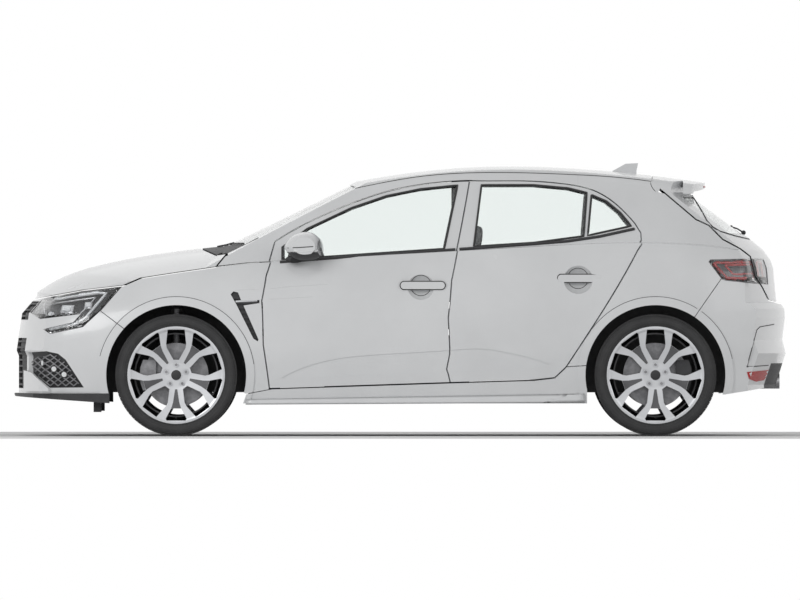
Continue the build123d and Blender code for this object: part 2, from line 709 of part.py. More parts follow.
# Doors: outline, window outlines, hinge pin, handle middle, cutters of the doors beside them
HANDLE_SIZE = (243, 20, 40)
HANDLE_GAP = 12
BOWL_RADIUS = 90
BOWL_DEPTH = 20
FRONT_WINDOW = ((True, FRONT_WINDOW_TOP), (False, FRONT_WINDOW_SILL))
REAR_WINDOW = ((True, REAR_WINDOW_TOP), (False, REAR_WINDOW_SILL))
DOORS = (
    ("front_door", FRONT_DOOR, (FRONT_WINDOW,), FRONT_PIN, (124, 829), (REAR_DOOR_CUT,)),
    ("rear_door", REAR_DOOR, (REAR_WINDOW, closed(QUARTER_WINDOW)), REAR_PIN, (988, 868), ()),
)
outer_side = block((-REACH, REACH), (-1500, -300), (0, 1700))
glass_layer = common(less(cabin_form(GLASS_SET_BACK), cabin_form(GLASS_SET_BACK + GLASS_THICK)), outer_side)
PIN_LENGTH = 60
for name, outline, windows, (pin_x, pin_y), (handle_x, handle_z), neighbours in DOORS:
    door_zone = door_prism(outline)
    with BuildPart() as door:
        add(less(common(shell, door_zone), *neighbours))
        for window in windows:
            add(side_prism(window), mode=Mode.SUBTRACT)
        for z in HINGE_HEIGHTS:
            room = LEAF_HEIGHT / 2 + 6
            add(block((pin_x - 160, pin_x + 14), (-pin_y - 6, -700), (z - room, z + room)), mode=Mode.SUBTRACT)
            with Locations((pin_x, -pin_y, z)):
                Cylinder(PIN_RADIUS + SEAT_GAP, PIN_LENGTH + 2, mode=Mode.SUBTRACT)
        add(scallop, mode=Mode.SUBTRACT)
        length, proud, tall = HANDLE_SIZE
        skin = skin_half_width(handle_z)
        with Locations((handle_x - tall / 4, BOWL_DEPTH - BOWL_RADIUS - skin, handle_z)):
            Sphere(BOWL_RADIUS, mode=Mode.SUBTRACT)
        with BuildSketch(Plane.XZ.offset(skin + HANDLE_GAP)):
            with Locations((handle_x, handle_z)):
                SlotOverall(length, tall)
        extrude(amount=proud)
        with BuildSketch(Plane.XZ.offset(skin - HANDLE_GAP)):
            with Locations((handle_x - length / 2 + tall / 2, handle_z), (handle_x + length / 2 - tall / 2, handle_z)):
                Circle(0.4 * tall)
        extrude(amount=2 * HANDLE_GAP + proud / 2)
    panes = [common(glass_layer, side_prism(window, -SEAT_GAP)) for window in windows]
    with BuildPart() as glass:
        for pane in panes:
            add(pane)
    for side, turn in (("left", False), ("right", True)):
        parts[f"{name}_{side}"] = right_hand(door.part) if turn else door.part
        parts[f"{name}_glass_{side}"] = right_hand(glass.part) if turn else glass.part

# Mirror head: distance out, size of the section against the full outline
MIRROR_SECTIONS = ((872, 0.92), (945, 1.0), (1028, 0.62))
MIRROR_OUTLINE = (
    (-634, 1048), (-606, 1087), (-535, 1121), (-485, 1117), (-444, 1082), (-431, 1040), (-441, 991), (-491, 972),
    (-568, 976), (-617, 1010),
)
MIRROR_MIDDLE = (-530, 1046)
with BuildPart() as mirror_left:
    for y, size in MIRROR_SECTIONS:
        with BuildSketch(Plane.XZ.offset(y)):
            with BuildLine():
                mx, mz = MIRROR_MIDDLE
                Spline(*((mx + size * (x - mx), mz + size * (z - mz)) for x, z in MIRROR_OUTLINE), periodic=True)
            make_face()
    loft()
    with BuildSketch(Plane.XZ.offset(816)):
        with Locations((-580, 974)):
            Ellipse(48, 20)
    extrude(amount=80)
    add(parts["front_door_left"], mode=Mode.SUBTRACT)
parts["mirror_left"] = largest(mirror_left.part)
parts["mirror_right"] = right_hand(largest(mirror_left.part))

# Posts, hinge leaves and floor
FLOOR = (195, 215)
POST_FACE = 775
POST_BACK = 710
HEEL_X = 985
BOOT_FLOOR = (470, 490)
FIREWALL_X = -775
LINER_ROOM = ARCH_RADIUS + 10
LINER_THICK = 6
# axle x, inner wall of the wheel house
WHEEL_HOUSES = ((FRONT_AXLE_X, 455), (REAR_AXLE_X, 640))
cavity = whole_form(
    SIDE_WALL + SEAT_GAP, TOP_WALL + SEAT_GAP, END_WALL + SEAT_GAP, CABIN_WALL + SEAT_GAP, 56, bottom=0
)

with BuildPart() as hinge_pillars:
    foot = FLOOR[1] + SEAT_GAP
    add(block((-760, -670), (-POST_FACE, -POST_BACK), (foot, 920)))
    with BuildSketch(Plane.YZ.offset(285)):
        with BuildLine():
            Polyline(
                (-POST_FACE, foot), (-POST_FACE, 930), (-546, 1400), (-520, 1470), (-440, 1470), (-486, 1395),
                (-POST_BACK, 930), (-POST_BACK, foot), (-POST_FACE, foot),
            )
        make_face()
    extrude(amount=95)
    add(cavity, mode=Mode.INTERSECT)
    add(pin_room(FRONT_PIN, FRONT_DOOR_SWEEP), mode=Mode.SUBTRACT)
    add(pin_room(REAR_PIN, REAR_DOOR_SWEEP), mode=Mode.SUBTRACT)
    for pin_x, pin_y in (FRONT_PIN, REAR_PIN):
        for z in HINGE_HEIGHTS:
            leaf = (z - LEAF_HEIGHT / 2, z + LEAF_HEIGHT / 2)
            add(block((pin_x - PIN_RADIUS, pin_x + 2 * PIN_RADIUS), (-pin_y, 20 - POST_FACE), leaf))
            with Locations((pin_x, -pin_y, z)):
                Cylinder(PIN_RADIUS, PIN_LENGTH)
parts["hinge_pillars"] = both_sides(hinge_pillars.part)

with BuildPart() as floor_pan:
    add(block((FIREWALL_X, HEEL_X), (-900, 900), FLOOR))
    add(block((HEEL_X - 15, HEEL_X), (-900, 900), (FLOOR[0], BOOT_FLOOR[1])))
    add(block((HEEL_X - 15, 2200), (-900, 900), BOOT_FLOOR))
    add(block((FIREWALL_X, FIREWALL_X + 15), (-900, 900), (FLOOR[0], 985)))
    add(cavity, mode=Mode.INTERSECT)
    add(pin_room(FRONT_PIN, FRONT_DOOR_SWEEP), mode=Mode.SUBTRACT)
    for x, y_in in WHEEL_HOUSES:
        for y in (-y_in - 300, y_in + 300):
            with Locations((x, y, TYRE_RADIUS)):
                Cylinder(LINER_ROOM, 600, rotation=(90, 0, 0), mode=Mode.SUBTRACT)
    for y in (-BONNET_PIN_Y, BONNET_PIN_Y):
        arm = (y - ARM_WIDTH / 2, y + ARM_WIDTH / 2)
        add(block((BONNET_AXIS[0] - 9, FIREWALL_X + 5), arm, (895, 920)))
        add(block((BONNET_AXIS[0] - 9, BONNET_AXIS[0] + 9), arm, (895, BONNET_AXIS[1])))
        add(lid_pin(BONNET_AXIS, y))
parts["floor_pan"] = floor_pan.part

with BuildPart() as gate_hinges:
    for y in (-GATE_PIN_Y, GATE_PIN_Y):
        arm = (y - ARM_WIDTH / 2, y + ARM_WIDTH / 2)
        add(block((GATE_AXIS[0] - 8, GATE_AXIS[0] + 8), arm, (1300, GATE_AXIS[1])))
        add(block((1340, GATE_AXIS[0] + 8), arm, (1300, 1316)))
        add(block((1340, 1372), arm, (1300, 1420)))
        add(lid_pin(GATE_AXIS, y))
    add(parts["roof_panel"], mode=Mode.SUBTRACT)
parts["gate_hinges"] = gate_hinges.part

with BuildPart() as arch_liners:
    for x, y_in in WHEEL_HOUSES:
        for y in (-1, 1):
            with BuildSketch(Plane.XZ.offset(-y * y_in)):
                with Locations((x, TYRE_RADIUS)):
                    Circle(LINER_ROOM - SEAT_GAP)
                with Locations((x, 240 - 500)):
                    Rectangle(1200, 1000, mode=Mode.SUBTRACT)
            extrude(amount=-y * 460)
            with BuildSketch(Plane.XZ.offset(-y * (y_in + LINER_THICK))):
                with Locations((x, TYRE_RADIUS)):
                    Circle(ARCH_RADIUS + 3)
            extrude(amount=-y * 560, mode=Mode.SUBTRACT)
            with Locations((x, y * y_in, TYRE_RADIUS)):
                Cylinder(120, 60, rotation=(90, 0, 0), mode=Mode.SUBTRACT)
    add(cavity, mode=Mode.INTERSECT)
parts["arch_liners"] = arch_liners.part

# Lip, spoiler and aerial
SPLITTER_TOP = BUMPER_LOW - SEAT_GAP
FLAP = ((-1688, -1646), (640, 760), (132, 200))
with BuildPart() as front_splitter:
    with BuildSketch(Plane.XZ):
        with BuildLine():
            Polyline((-2136, SPLITTER_TOP), (-2136, 228), (-2128, 218), (-1600, 181), (-1600, SPLITTER_TOP), (-2136, SPLITTER_TOP))
        make_face()
    extrude(amount=900, both=True)
    with BuildSketch(Plane.XY):
        with BuildLine():
            ThreePointArc((-2022, -700), (-2136, 0), (-2022, 700))
            Polyline((-2022, 700), (-1880, 838), (-1600, 868), (-1600, 770), (-1850, 740), (-1950, 600), (-1990, 300))
            Polyline((-1990, 300), (-1990, -300), (-1950, -600), (-1850, -740), (-1600, -770))
            Polyline((-1600, -770), (-1600, -868), (-1880, -838), (-2022, -700))
        make_face()
    extrude(amount=400, mode=Mode.INTERSECT)
    add(block(*FLAP))
    add(block(FLAP[0], (-FLAP[1][1], -FLAP[1][0]), FLAP[2]))
parts["front_splitter"] = front_splitter.part

SPOILER_WEDGE = ((1560, 1325), (1612, 1332), (1640, 1350), (1695, 1368), (1695, 1500), (1560, 1500))
with BuildPart() as spoiler:
    add(less(cabin_form(), cabin_form(26, 36)))
    add(ring_beyond(TAIL_OUTLINE, REACH, -SEAT_GAP), mode=Mode.INTERSECT)
    add(block((1560, 1800), (-700, 700), (1335, 1500)), mode=Mode.INTERSECT)
    with BuildSketch(Plane.XY.offset(1200)):
        with BuildLine():
            ThreePointArc((1590, -620), (1687, 0), (1590, 620))
            Polyline((1590, 620), (1400, 620), (1400, -620), (1590, -620))
        make_face()
    extrude(amount=400, mode=Mode.INTERSECT)
    add(side_prism(closed(SPOILER_WEDGE)), mode=Mode.INTERSECT)
parts["spoiler"] = spoiler.part

with BuildPart() as antenna_fin:
    with BuildSketch(Plane.XZ):
        with BuildLine():
            Polyline((1174, 1430), (1174, 1463), (1249, 1504), (1318, 1507), (1309, 1466), (1309, 1430), (1174, 1430))
        make_face()
    extrude(amount=9, both=True)
    add(outer, mode=Mode.SUBTRACT)
parts["antenna_fin"] = antenna_fin.part

# Wheels, drawn about the origin with the outside of a left-hand wheel toward -Y
RIM_EDGE = 268
BEAD = 254
HUB_FACE = -45
SPOKE_COUNT = 5
STUB_RADIUS = 30
DISC_RADIUS = 177
LUG_CIRCLE = 57
BIG_WINDOW = ((-15, 84), (-52, 150), (-55, 172), (-47, 250), (47, 250), (55, 172), (52, 150), (15, 84))
SMALL_WINDOW = ((-28, 184), (-58, 240), (-52, 250), (52, 250), (58, 240), (28, 184))
SPOKE_SLIT = ((-3, 84), (-7, 166), (7, 166), (3, 84))
with BuildPart() as rim:
    with BuildSketch(Plane.XY):
        with BuildLine():
            Polyline(
                (RIM_EDGE, -107), (RIM_EDGE, -99), (BEAD, -94), (BEAD, -70), (232, -50), (232, 60), (BEAD, 75),
                (BEAD, 94), (RIM_EDGE - 6, 98), (RIM_EDGE - 6, 107), (256, 107), (246, 100), (246, 78), (224, 63),
                (224, -52), (240, -74), (246, -104), (256, -107), (RIM_EDGE, -107),
            )
        make_face()
    revolve(axis=Axis.Y)
    with BuildSketch(Plane.XY):
        with BuildLine():
            Polyline((0, -80), (70, -82), (250, -101), (250, -78), (90, -56), (76, HUB_FACE), (0, HUB_FACE), (0, -80))
        make_face()
    revolve(axis=Axis.Y)
    for corners, turn in ((BIG_WINDOW, 0), (SMALL_WINDOW, 180)):
        with BuildSketch(Plane.XZ.offset(-10)):
            with PolarLocations(0, SPOKE_COUNT, start_angle=turn):
                Polygon(*corners, align=None)
        extrude(amount=200, mode=Mode.SUBTRACT)
    with BuildSketch(Plane.XZ.offset(79)):
        with PolarLocations(0, SPOKE_COUNT, start_angle=180):
            Polygon(*SPOKE_SLIT, align=None)
    extrude(amount=60, mode=Mode.SUBTRACT)
    with BuildSketch(Plane.XZ.offset(76)):
        with PolarLocations(LUG_CIRCLE, SPOKE_COUNT, start_angle=90):
            Circle(16)
    extrude(amount=20, mode=Mode.SUBTRACT)
    with BuildSketch(Plane.XZ.offset(72)):
        with PolarLocations(LUG_CIRCLE, SPOKE_COUNT, start_angle=90):
            Circle(11)
    extrude(amount=18)
    with BuildSketch(Plane.XZ.offset(76)):
        Circle(30)
    extrude(amount=10)

with BuildPart() as tyre:
    with BuildSketch(Plane.XY):
        with BuildLine():
            flank = [(BEAD + SEAT_GAP, 89), (298, TYRE_WIDTH / 2), (326, 109), (TYRE_RADIUS, 86)]
            Polyline(*flank, *((r, -y) for r, y in flank[::-1]), flank[0])
        make_face()
    revolve(axis=Axis.Y)

with BuildPart() as disc:
    with BuildSketch(Plane.XZ.offset(5)):
        Circle(DISC_RADIUS)
    extrude(amount=-28)
    with BuildSketch(Plane.XZ.offset(5)):
        Circle(79)
    extrude(amount=-HUB_FACE - 5 - SEAT_GAP)
    with BuildSketch(Plane.XZ.offset(60)):
        Circle(STUB_RADIUS + SEAT_GAP)
    extrude(amount=-100, mode=Mode.SUBTRACT)

WHEELS = (
    ("front_wheel_left", FRONT_AXLE_X, -1), ("front_wheel_right", FRONT_AXLE_X, 1),
    ("rear_wheel_left", REAR_AXLE_X, -1), ("rear_wheel_right", REAR_AXLE_X, 1),
)
for name, x, side in WHEELS:
    place = Location((x, side * TRACK_HALF, TYRE_RADIUS))
    for kind, piece in (("rim", rim.part), ("tyre", tyre.part), ("brake_disc", disc.part)):
        form = piece if side < 0 else right_hand(piece)
        parts[name.replace("wheel", kind)] = place * form

# Running gear
KINGPIN = 45
STRUT_IN = 156


def caliper(turn):
    """Brake caliper about a wheel's middle, on the side of the axle given by the turn."""
    with BuildPart() as clamp:
        with BuildSketch(Plane.XZ.offset(34)):
            with BuildLine():
                Polyline((-112, -80), (-112, 80), (-183, 84), (-198, 40), (-200, 0), (-198, -40), (-183, -84), (-112, -80))
            make_face()
        extrude(amount=-84)
        with BuildSketch(Plane.XZ.offset(10)):
            Circle(DISC_RADIUS + 6)
        extrude(amount=-38, mode=Mode.SUBTRACT)
    return clamp.part.rotate(Axis.Y, turn)


with BuildPart() as knuckle:
    with BuildSketch(Plane.XZ.offset(40)):
        Circle(STUB_RADIUS)
    extrude(amount=-110)
    add(block((-60, 60), (30, 70), (-70, 90)))
    add(block((-130, -40), (34, 50), (-60, 60)))
    add(block((-24, 24), (30, 62), (-128, -60)))
    add(caliper(0))
    with Locations((0, KINGPIN, -140)):
        Cylinder(10, 44)
    with Locations((0, STRUT_IN, 200)):
        Cylinder(26, 330)
    add(block((-40, 40), (60, STRUT_IN), (40, 84)))
    add(block((60, 150), (40, 64), (-20, 10)))
knuckle_left = Location((FRONT_AXLE_X, -TRACK_HALF, TYRE_RADIUS)) * knuckle.part
parts["knuckle_left"] = knuckle_left
parts["knuckle_right"] = right_hand(knuckle_left)

SUBFRAME_NOSE = -2008
WISHBONE = (176, 202)
BALL_EYE = 16
with BuildPart() as front_subframe:
    for side in (-1, 1):
        rail = sorted((side * 400, side * 450))
        add(block((SUBFRAME_NOSE, FIREWALL_X - SEAT_GAP), rail, (420, 520)))
        add(block((-1300, -1160), rail, (280, 440)))
        kingpin_y = side * (TRACK_HALF - KINGPIN)
        wishbone = (FRONT_AXLE_X - BALL_EYE, FRONT_AXLE_X + BALL_EYE)
        add(block(wishbone, sorted((side * 420, kingpin_y)), WISHBONE))
        add(block(wishbone, sorted((side * 400, side * 450)), (WISHBONE[0], 290)))
        with Locations((FRONT_AXLE_X, kingpin_y, (WISHBONE[0] + WISHBONE[1]) / 2)):
            Cylinder(BALL_EYE, WISHBONE[1] - WISHBONE[0])
            Cylinder(10 + SEAT_GAP, 80, mode=Mode.SUBTRACT)
    add(block((-1330, -1130), (-450, 450), (225, 290)))
    add(block((SUBFRAME_NOSE, SUBFRAME_NOSE + 45), (-450, 450), (420, 520)))
parts["front_subframe"] = front_subframe.part

with BuildPart() as engine:
    add(block((-1690, -1110), (-330, 390), (290 + SEAT_GAP, 780)))
    chamfer(engine.edges().group_by(Axis.Z)[-1], 40)
parts["engine"] = engine.part

with BuildPart() as radiator:
    add(block((-1960, -1915), (SEAT_GAP - 400, 400 - SEAT_GAP), (300, 700)))
parts["radiator"] = radiator.part

with BuildPart() as rear_axle:
    add(block((1150, 1220), (-600, 600), (306, 366)))
    for side in (-1, 1):
        add(block((HEEL_X + SEAT_GAP, 1440), sorted((side * 560, side * 620)), (300, 366)))
        add(block((1354, 1454), sorted((side * 610, side * 735)), (276, 396)))
        with Locations((REAR_AXLE_X, side * 775, TYRE_RADIUS)):
            Cylinder(STUB_RADIUS, 130, rotation=(90, 0, 0))
        add(block((1440, 1540), sorted((side * 700, side * 757)), (300, 372)))
    turned = Location((REAR_AXLE_X, -TRACK_HALF, TYRE_RADIUS)) * caliper(180)
    add(turned)
    add(right_hand(turned))
parts["rear_axle"] = rear_axle.part

TAILPIPE_Y = 55
TAILPIPE_RADIUS = 42
with BuildPart() as exhaust:
    add(block((1680, 1940), (-330, 330), (250, 370)))
    add(block((1760, 1800), (-200, 200), (360, BOOT_FLOOR[0] - SEAT_GAP)))
    with Locations((2005, -TAILPIPE_Y, 300), (2005, TAILPIPE_Y, 300)):
        Cylinder(TAILPIPE_RADIUS, 190, rotation=(0, 90, 0))
        Cylinder(TAILPIPE_RADIUS - 4, 191, rotation=(0, 90, 0), mode=Mode.SUBTRACT)
    add(block((1900, 1935), (-2 * TAILPIPE_Y, 2 * TAILPIPE_Y), (255, 345)))
parts["exhaust"] = exhaust.part
with BuildPart() as diffuser_hole:
    with Locations((2050, -TAILPIPE_Y, 300), (2050, TAILPIPE_Y, 300)):
        Cylinder(TAILPIPE_RADIUS + 8, 400, rotation=(0, 90, 0))
parts["rear_diffuser"] = less(parts["rear_diffuser"], diffuser_hole.part)

# Cabin
DASH_BACK = FIREWALL_X + 15 + SEAT_GAP
with BuildPart() as dashboard:
    with BuildSketch(Plane.XZ.offset(-690)):
        with BuildLine():
            Polyline((DASH_BACK, 560), (DASH_BACK, 975), (-640, 968), (-470, 930), (-430, 860), (-470, 700),
                     (-560, 560), (DASH_BACK, 560))
        make_face()
    extrude(amount=1380)
parts["dashboard"] = dashboard.part

WHEEL_TILT = 65
with BuildPart() as steering_wheel:
    Torus(178, 16)
    add(block((-170, 170), (-22, 22), (-8, 8)))
    add(block((-22, 22), (-170, 0), (-8, 8)))
    with Locations((0, 0, -16)):
        Cylinder(55, 60)
    with Locations((0, 0, -100)):
        Cylinder(24, 200)
column = Location((-395, -370, 905), (0, 0, 0)) * steering_wheel.part.rotate(Axis.Y, WHEEL_TILT)
parts["steering_wheel"] = less(column, parts["dashboard"])

SEAT_PROFILE = (
    (-140, 330), (-160, 440), (-120, 470), (250, 440), (330, 470), (420, 900), (450, 1010), (445, 1150), (490, 1165),
    (535, 1010), (500, 900), (440, 420), (400, 340),
)
with BuildPart() as front_seat:
    with BuildSketch(Plane.XZ.offset(120)):
        with BuildLine():
            Polyline(*SEAT_PROFILE, SEAT_PROFILE[0])
        make_face()
    extrude(amount=490)
    add(block((300, 700), (-620, -490), (1000, 1300)), mode=Mode.SUBTRACT)
    add(block((300, 700), (-240, -110), (1000, 1300)), mode=Mode.SUBTRACT)
    add(block((-80, 360), (-560, -170), (FLOOR[1] + SEAT_GAP, 345)))
parts["front_seats"] = both_sides(front_seat.part)

foot = FLOOR[1] + SEAT_GAP
ledge = BOOT_FLOOR[1] + SEAT_GAP
heel = HEEL_X - 15 - SEAT_GAP
with BuildPart() as rear_seat:
    with BuildSketch(Plane.XZ.offset(-630)):
        with BuildLine():
            Polyline((560, foot), (540, 440), (580, 480), (900, 450), (1050, 960), (1120, 975), (1130, 930),
                     (1010, ledge), (heel, ledge), (heel, foot), (560, foot))
        make_face()
    extrude(amount=1260)
parts["rear_seat"] = rear_seat.part

for label, part in parts.items():
    part.label = label
    export_step(part, f"parts/{label}.step")
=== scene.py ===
"""White five-door sports hatchback on a pale studio floor, seen square from its left-hand side."""

import json
from math import cos, hypot, pi, radians, sin, sqrt

import bmesh
import bpy
from mathutils import Matrix, Vector
from mathutils.bvhtree import BVHTree


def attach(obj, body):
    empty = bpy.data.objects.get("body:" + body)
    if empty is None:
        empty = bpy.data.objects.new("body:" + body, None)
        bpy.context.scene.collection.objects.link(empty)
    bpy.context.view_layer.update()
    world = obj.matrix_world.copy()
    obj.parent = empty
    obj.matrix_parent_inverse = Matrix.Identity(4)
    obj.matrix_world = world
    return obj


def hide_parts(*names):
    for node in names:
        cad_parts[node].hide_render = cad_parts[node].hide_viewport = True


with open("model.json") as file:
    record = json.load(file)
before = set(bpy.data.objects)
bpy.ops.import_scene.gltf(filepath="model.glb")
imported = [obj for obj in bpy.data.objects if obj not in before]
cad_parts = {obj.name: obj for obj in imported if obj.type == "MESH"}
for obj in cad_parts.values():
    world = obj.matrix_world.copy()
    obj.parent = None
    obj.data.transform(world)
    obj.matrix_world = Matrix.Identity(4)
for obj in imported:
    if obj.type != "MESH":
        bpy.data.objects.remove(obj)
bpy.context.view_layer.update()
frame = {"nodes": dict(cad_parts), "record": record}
nodes = frame["nodes"]


# Layout of the car

SIDES = (("left", -1), ("right", 1))
AXLES = {"front": -1.232, "rear": 1.404}
AXLE_HEIGHT = 0.336
WHEEL_PLANE = 0.797
WHEELS = [(end, x, hand, side) for end, x in AXLES.items() for hand, side in SIDES]


# Finishes

RAMP_ENDS = (0.35, 0.65)
NOISE_DETAIL = 5.0
RELIEF_DEPTH = 0.001
COAT_ROUGHNESS = 0.04
HAZE_SCALE, HAZE = 6.0, 0.02
GLASS_INDEX = 1.45


def new_finish(name):
    """An empty node material and its main shader."""
    material = bpy.data.materials.new(name)
    material.use_nodes = True
    return material, material.node_tree, material.node_tree.nodes["Principled BSDF"]


def varied_gloss(tree, noise, shader, low, high):
    """Roughness that follows a noise between two values."""
    gloss = tree.nodes.new("ShaderNodeMapRange")
    gloss.inputs["To Min"].default_value = low
    gloss.inputs["To Max"].default_value = high
    tree.links.new(noise.outputs["Fac"], gloss.inputs["Value"])
    tree.links.new(gloss.outputs["Result"], shader.inputs["Roughness"])


def mottled(name, dark, light, scale, rough, bump, metallic=0.0, coat=0.0, bump_scale=None):
    """A finish whose colour and gloss vary a little from place to place."""
    material, tree, shader = new_finish(name)
    coords = tree.nodes.new("ShaderNodeTexCoord")
    noise = tree.nodes.new("ShaderNodeTexNoise")
    noise.inputs["Scale"].default_value = scale
    noise.inputs["Detail"].default_value = NOISE_DETAIL
    tree.links.new(coords.outputs["Object"], noise.inputs["Vector"])
    ramp = tree.nodes.new("ShaderNodeValToRGB")
    for stop, position, colour in zip(ramp.color_ramp.elements, RAMP_ENDS, (dark, light)):
        stop.position = position
        stop.color = (*colour, 1)
    tree.links.new(noise.outputs["Fac"], ramp.inputs["Fac"])
    tree.links.new(ramp.outputs["Color"], shader.inputs["Base Color"])
    varied_gloss(tree, noise, shader, *rough)
    fine = tree.nodes.new("ShaderNodeTexNoise")
    fine.inputs["Scale"].default_value = bump_scale or scale * 12
    tree.links.new(coords.outputs["Object"], fine.inputs["Vector"])
    relief = tree.nodes.new("ShaderNodeBump")
    relief.inputs["Strength"].default_value = bump
    relief.inputs["Distance"].default_value = RELIEF_DEPTH
    tree.links.new(fine.outputs["Fac"], relief.inputs["Height"])
    tree.links.new(relief.outputs["Normal"], shader.inputs["Normal"])
    shader.inputs["Metallic"].default_value = metallic
    shader.inputs["Coat Weight"].default_value = coat
    shader.inputs["Coat Roughness"].default_value = COAT_ROUGHNESS
    return material


def clear_finish(name, tint, rough):
    """Clear glass with a faint variation in its gloss."""
    material, tree, shader = new_finish(name)
    coords = tree.nodes.new("ShaderNodeTexCoord")
    haze = tree.nodes.new("ShaderNodeTexNoise")
    haze.inputs["Scale"].default_value = HAZE_SCALE
    tree.links.new(coords.outputs["Object"], haze.inputs["Vector"])
    varied_gloss(tree, haze, shader, rough, rough + HAZE)
    shader.inputs["Base Color"].default_value = (*tint, 1)
    shader.inputs["Transmission Weight"].default_value = 1.0
    shader.inputs["IOR"].default_value = GLASS_INDEX
    return material


# Each finish: name, darker and lighter colour, size of the mottling, gloss range, relief
paint = mottled(
    "white_paint", (0.74, 0.75, 0.76), (0.79, 0.80, 0.81), 2.5, (0.22, 0.3), 0.02, coat=0.4, bump_scale=260
)
moulding = mottled(
    "dark_moulding", (0.022, 0.022, 0.024), (0.034, 0.034, 0.036), 20, (0.5, 0.65), 0.25, bump_scale=900
)
rubber = mottled(
    "tyre_rubber", (0.026, 0.026, 0.027), (0.04, 0.04, 0.041), 14, (0.62, 0.8), 0.3, bump_scale=500
)
alloy = mottled(
    "silver_alloy", (0.58, 0.59, 0.61), (0.66, 0.67, 0.69), 9, (0.3, 0.4), 0.04, metallic=0.5, coat=0.2
)
# Near-black painted shade, used for the inside of the wheels and the floors of the spoke grooves
wheel_shade = mottled("wheel_painted_shade", (0.09, 0.09, 0.095), (0.13, 0.13, 0.135), 9, (0.4, 0.5), 0.04, metallic=0.4)
iron = mottled("cast_iron", (0.20, 0.20, 0.21), (0.31, 0.31, 0.32), 30, (0.38, 0.55), 0.2, metallic=0.7)
chassis = mottled("dark_primer", (0.05, 0.05, 0.053), (0.075, 0.075, 0.08), 12, (0.5, 0.7), 0.15)
steel = mottled("brushed_steel", (0.42, 0.42, 0.43), (0.55, 0.55, 0.56), 40, (0.22, 0.36), 0.08, metallic=1.0)
cabin = mottled(
    "grained_plastic", (0.10, 0.10, 0.105), (0.14, 0.14, 0.145), 18, (0.55, 0.7), 0.35, bump_scale=700
)
cloth = mottled("seat_cloth", (0.20, 0.20, 0.215), (0.28, 0.28, 0.295), 60, (0.85, 0.95), 0.5, bump_scale=900)
glass = clear_finish("window_glass", (0.93, 0.96, 0.95), 0.0)
lens = clear_finish("lamp_lens", (0.92, 0.93, 0.94), 0.02)
lamp_black = mottled("lamp_housing", (0.05, 0.05, 0.053), (0.08, 0.08, 0.085), 25, (0.25, 0.35), 0.05)
lamp_grey = mottled("tail_housing", (0.30, 0.30, 0.31), (0.38, 0.38, 0.39), 25, (0.2, 0.3), 0.05)
lamp_white = mottled("lamp_guide", (0.84, 0.85, 0.86), (0.9, 0.91, 0.92), 30, (0.15, 0.25), 0.03)
lamp_red = mottled("red_guide", (0.42, 0.02, 0.02), (0.5, 0.03, 0.03), 30, (0.15, 0.25), 0.03)

FINISH_OF_SLOT = {
    "paint": paint,
    "glass": glass,
    "lens": lens,
    "trim": moulding,
    "tyre": rubber,
    "alloy": alloy,
    "iron": iron,
    "chassis": chassis,
    "exhaust": steel,
    "cabin": cabin,
    "fabric": cloth,
}
for entry in frame["record"]["subparts"]:
    mesh = nodes[entry["node"]].data
    mesh.materials.clear()
    mesh.materials.append(FINISH_OF_SLOT[entry["material_slot"]])

# The inside of each wheel gets a painted shade, darker than its face
FACE_OFFSET = 0.060
for end, x, hand, side in WHEELS:
    mesh = nodes[f"{end}_rim_{hand}"].data
    mesh.materials.append(wheel_shade)
    for face in mesh.polygons:
        if abs(face.center.y) < WHEEL_PLANE + FACE_OFFSET:
            face.material_index = 1


# Tools for new pieces

SIDE_START = 1.6
TOP_START = 2.2
MERGE_REACH = 0.00005


def piece(name, mesh, finish, body):
    """A finished piece that rides on a body of the car."""
    thing = bpy.data.objects.new(name, mesh)
    bpy.context.scene.collection.objects.link(thing)
    mesh.materials.clear()
    mesh.materials.append(finish)
    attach(thing, body)
    return thing


def from_form(name, form, finish, body, smooth=True):
    """A piece made from a bmesh, which is used up."""
    mesh = bpy.data.meshes.new(name)
    bmesh.ops.recalc_face_normals(form, faces=form.faces)
    for face in form.faces:
        face.smooth = smooth
    form.to_mesh(mesh)
    form.free()
    return piece(name, mesh, finish, body)


def search_tree(*names):
    """A tree for finding points on CAD nodes."""
    places, corners = [], []
    for name in names:
        mesh = nodes[name].data
        start = len(places)
        places += [vertex.co.copy() for vertex in mesh.vertices]
        corners += [[start + index for index in face.vertices] for face in mesh.polygons]
    return BVHTree.FromPolygons(places, corners)


def side_hit(tree, x, z, side):
    """Point and normal of the outside at a place of the side view."""
    return tree.ray_cast(Vector((x, side * SIDE_START, z)), Vector((0, -side, 0)))[:2]


def on_side(tree, x, z, side, proud=0.0):
    """The point of the outside at a place of the side view, moved out along the surface."""
    hit, normal = side_hit(tree, x, z, side)
    return None if hit is None else hit + normal * proud


def on_top(tree, x, y, proud=0.0):
    """The point seen from above at a place of the plan, moved out along the surface."""
    hit, normal = tree.ray_cast(Vector((x, y, TOP_START)), Vector((0, 0, -1)))[:2]
    return hit + normal * proud


def side_run(tree, corners, side, proud=0.0, step=0.02):
    """Points along a side-view line, laid on the surface."""
    run = []
    for (x0, z0), (x1, z1) in zip(corners, corners[1:]):
        count = max(1, int(hypot(x1 - x0, z1 - z0) / step))
        for index in range(count):
            part = index / count
            run.append(on_side(tree, x0 + (x1 - x0) * part, z0 + (z1 - z0) * part, side, proud))
    run.append(on_side(tree, *corners[-1], side, proud))
    return [point for point in run if point is not None]


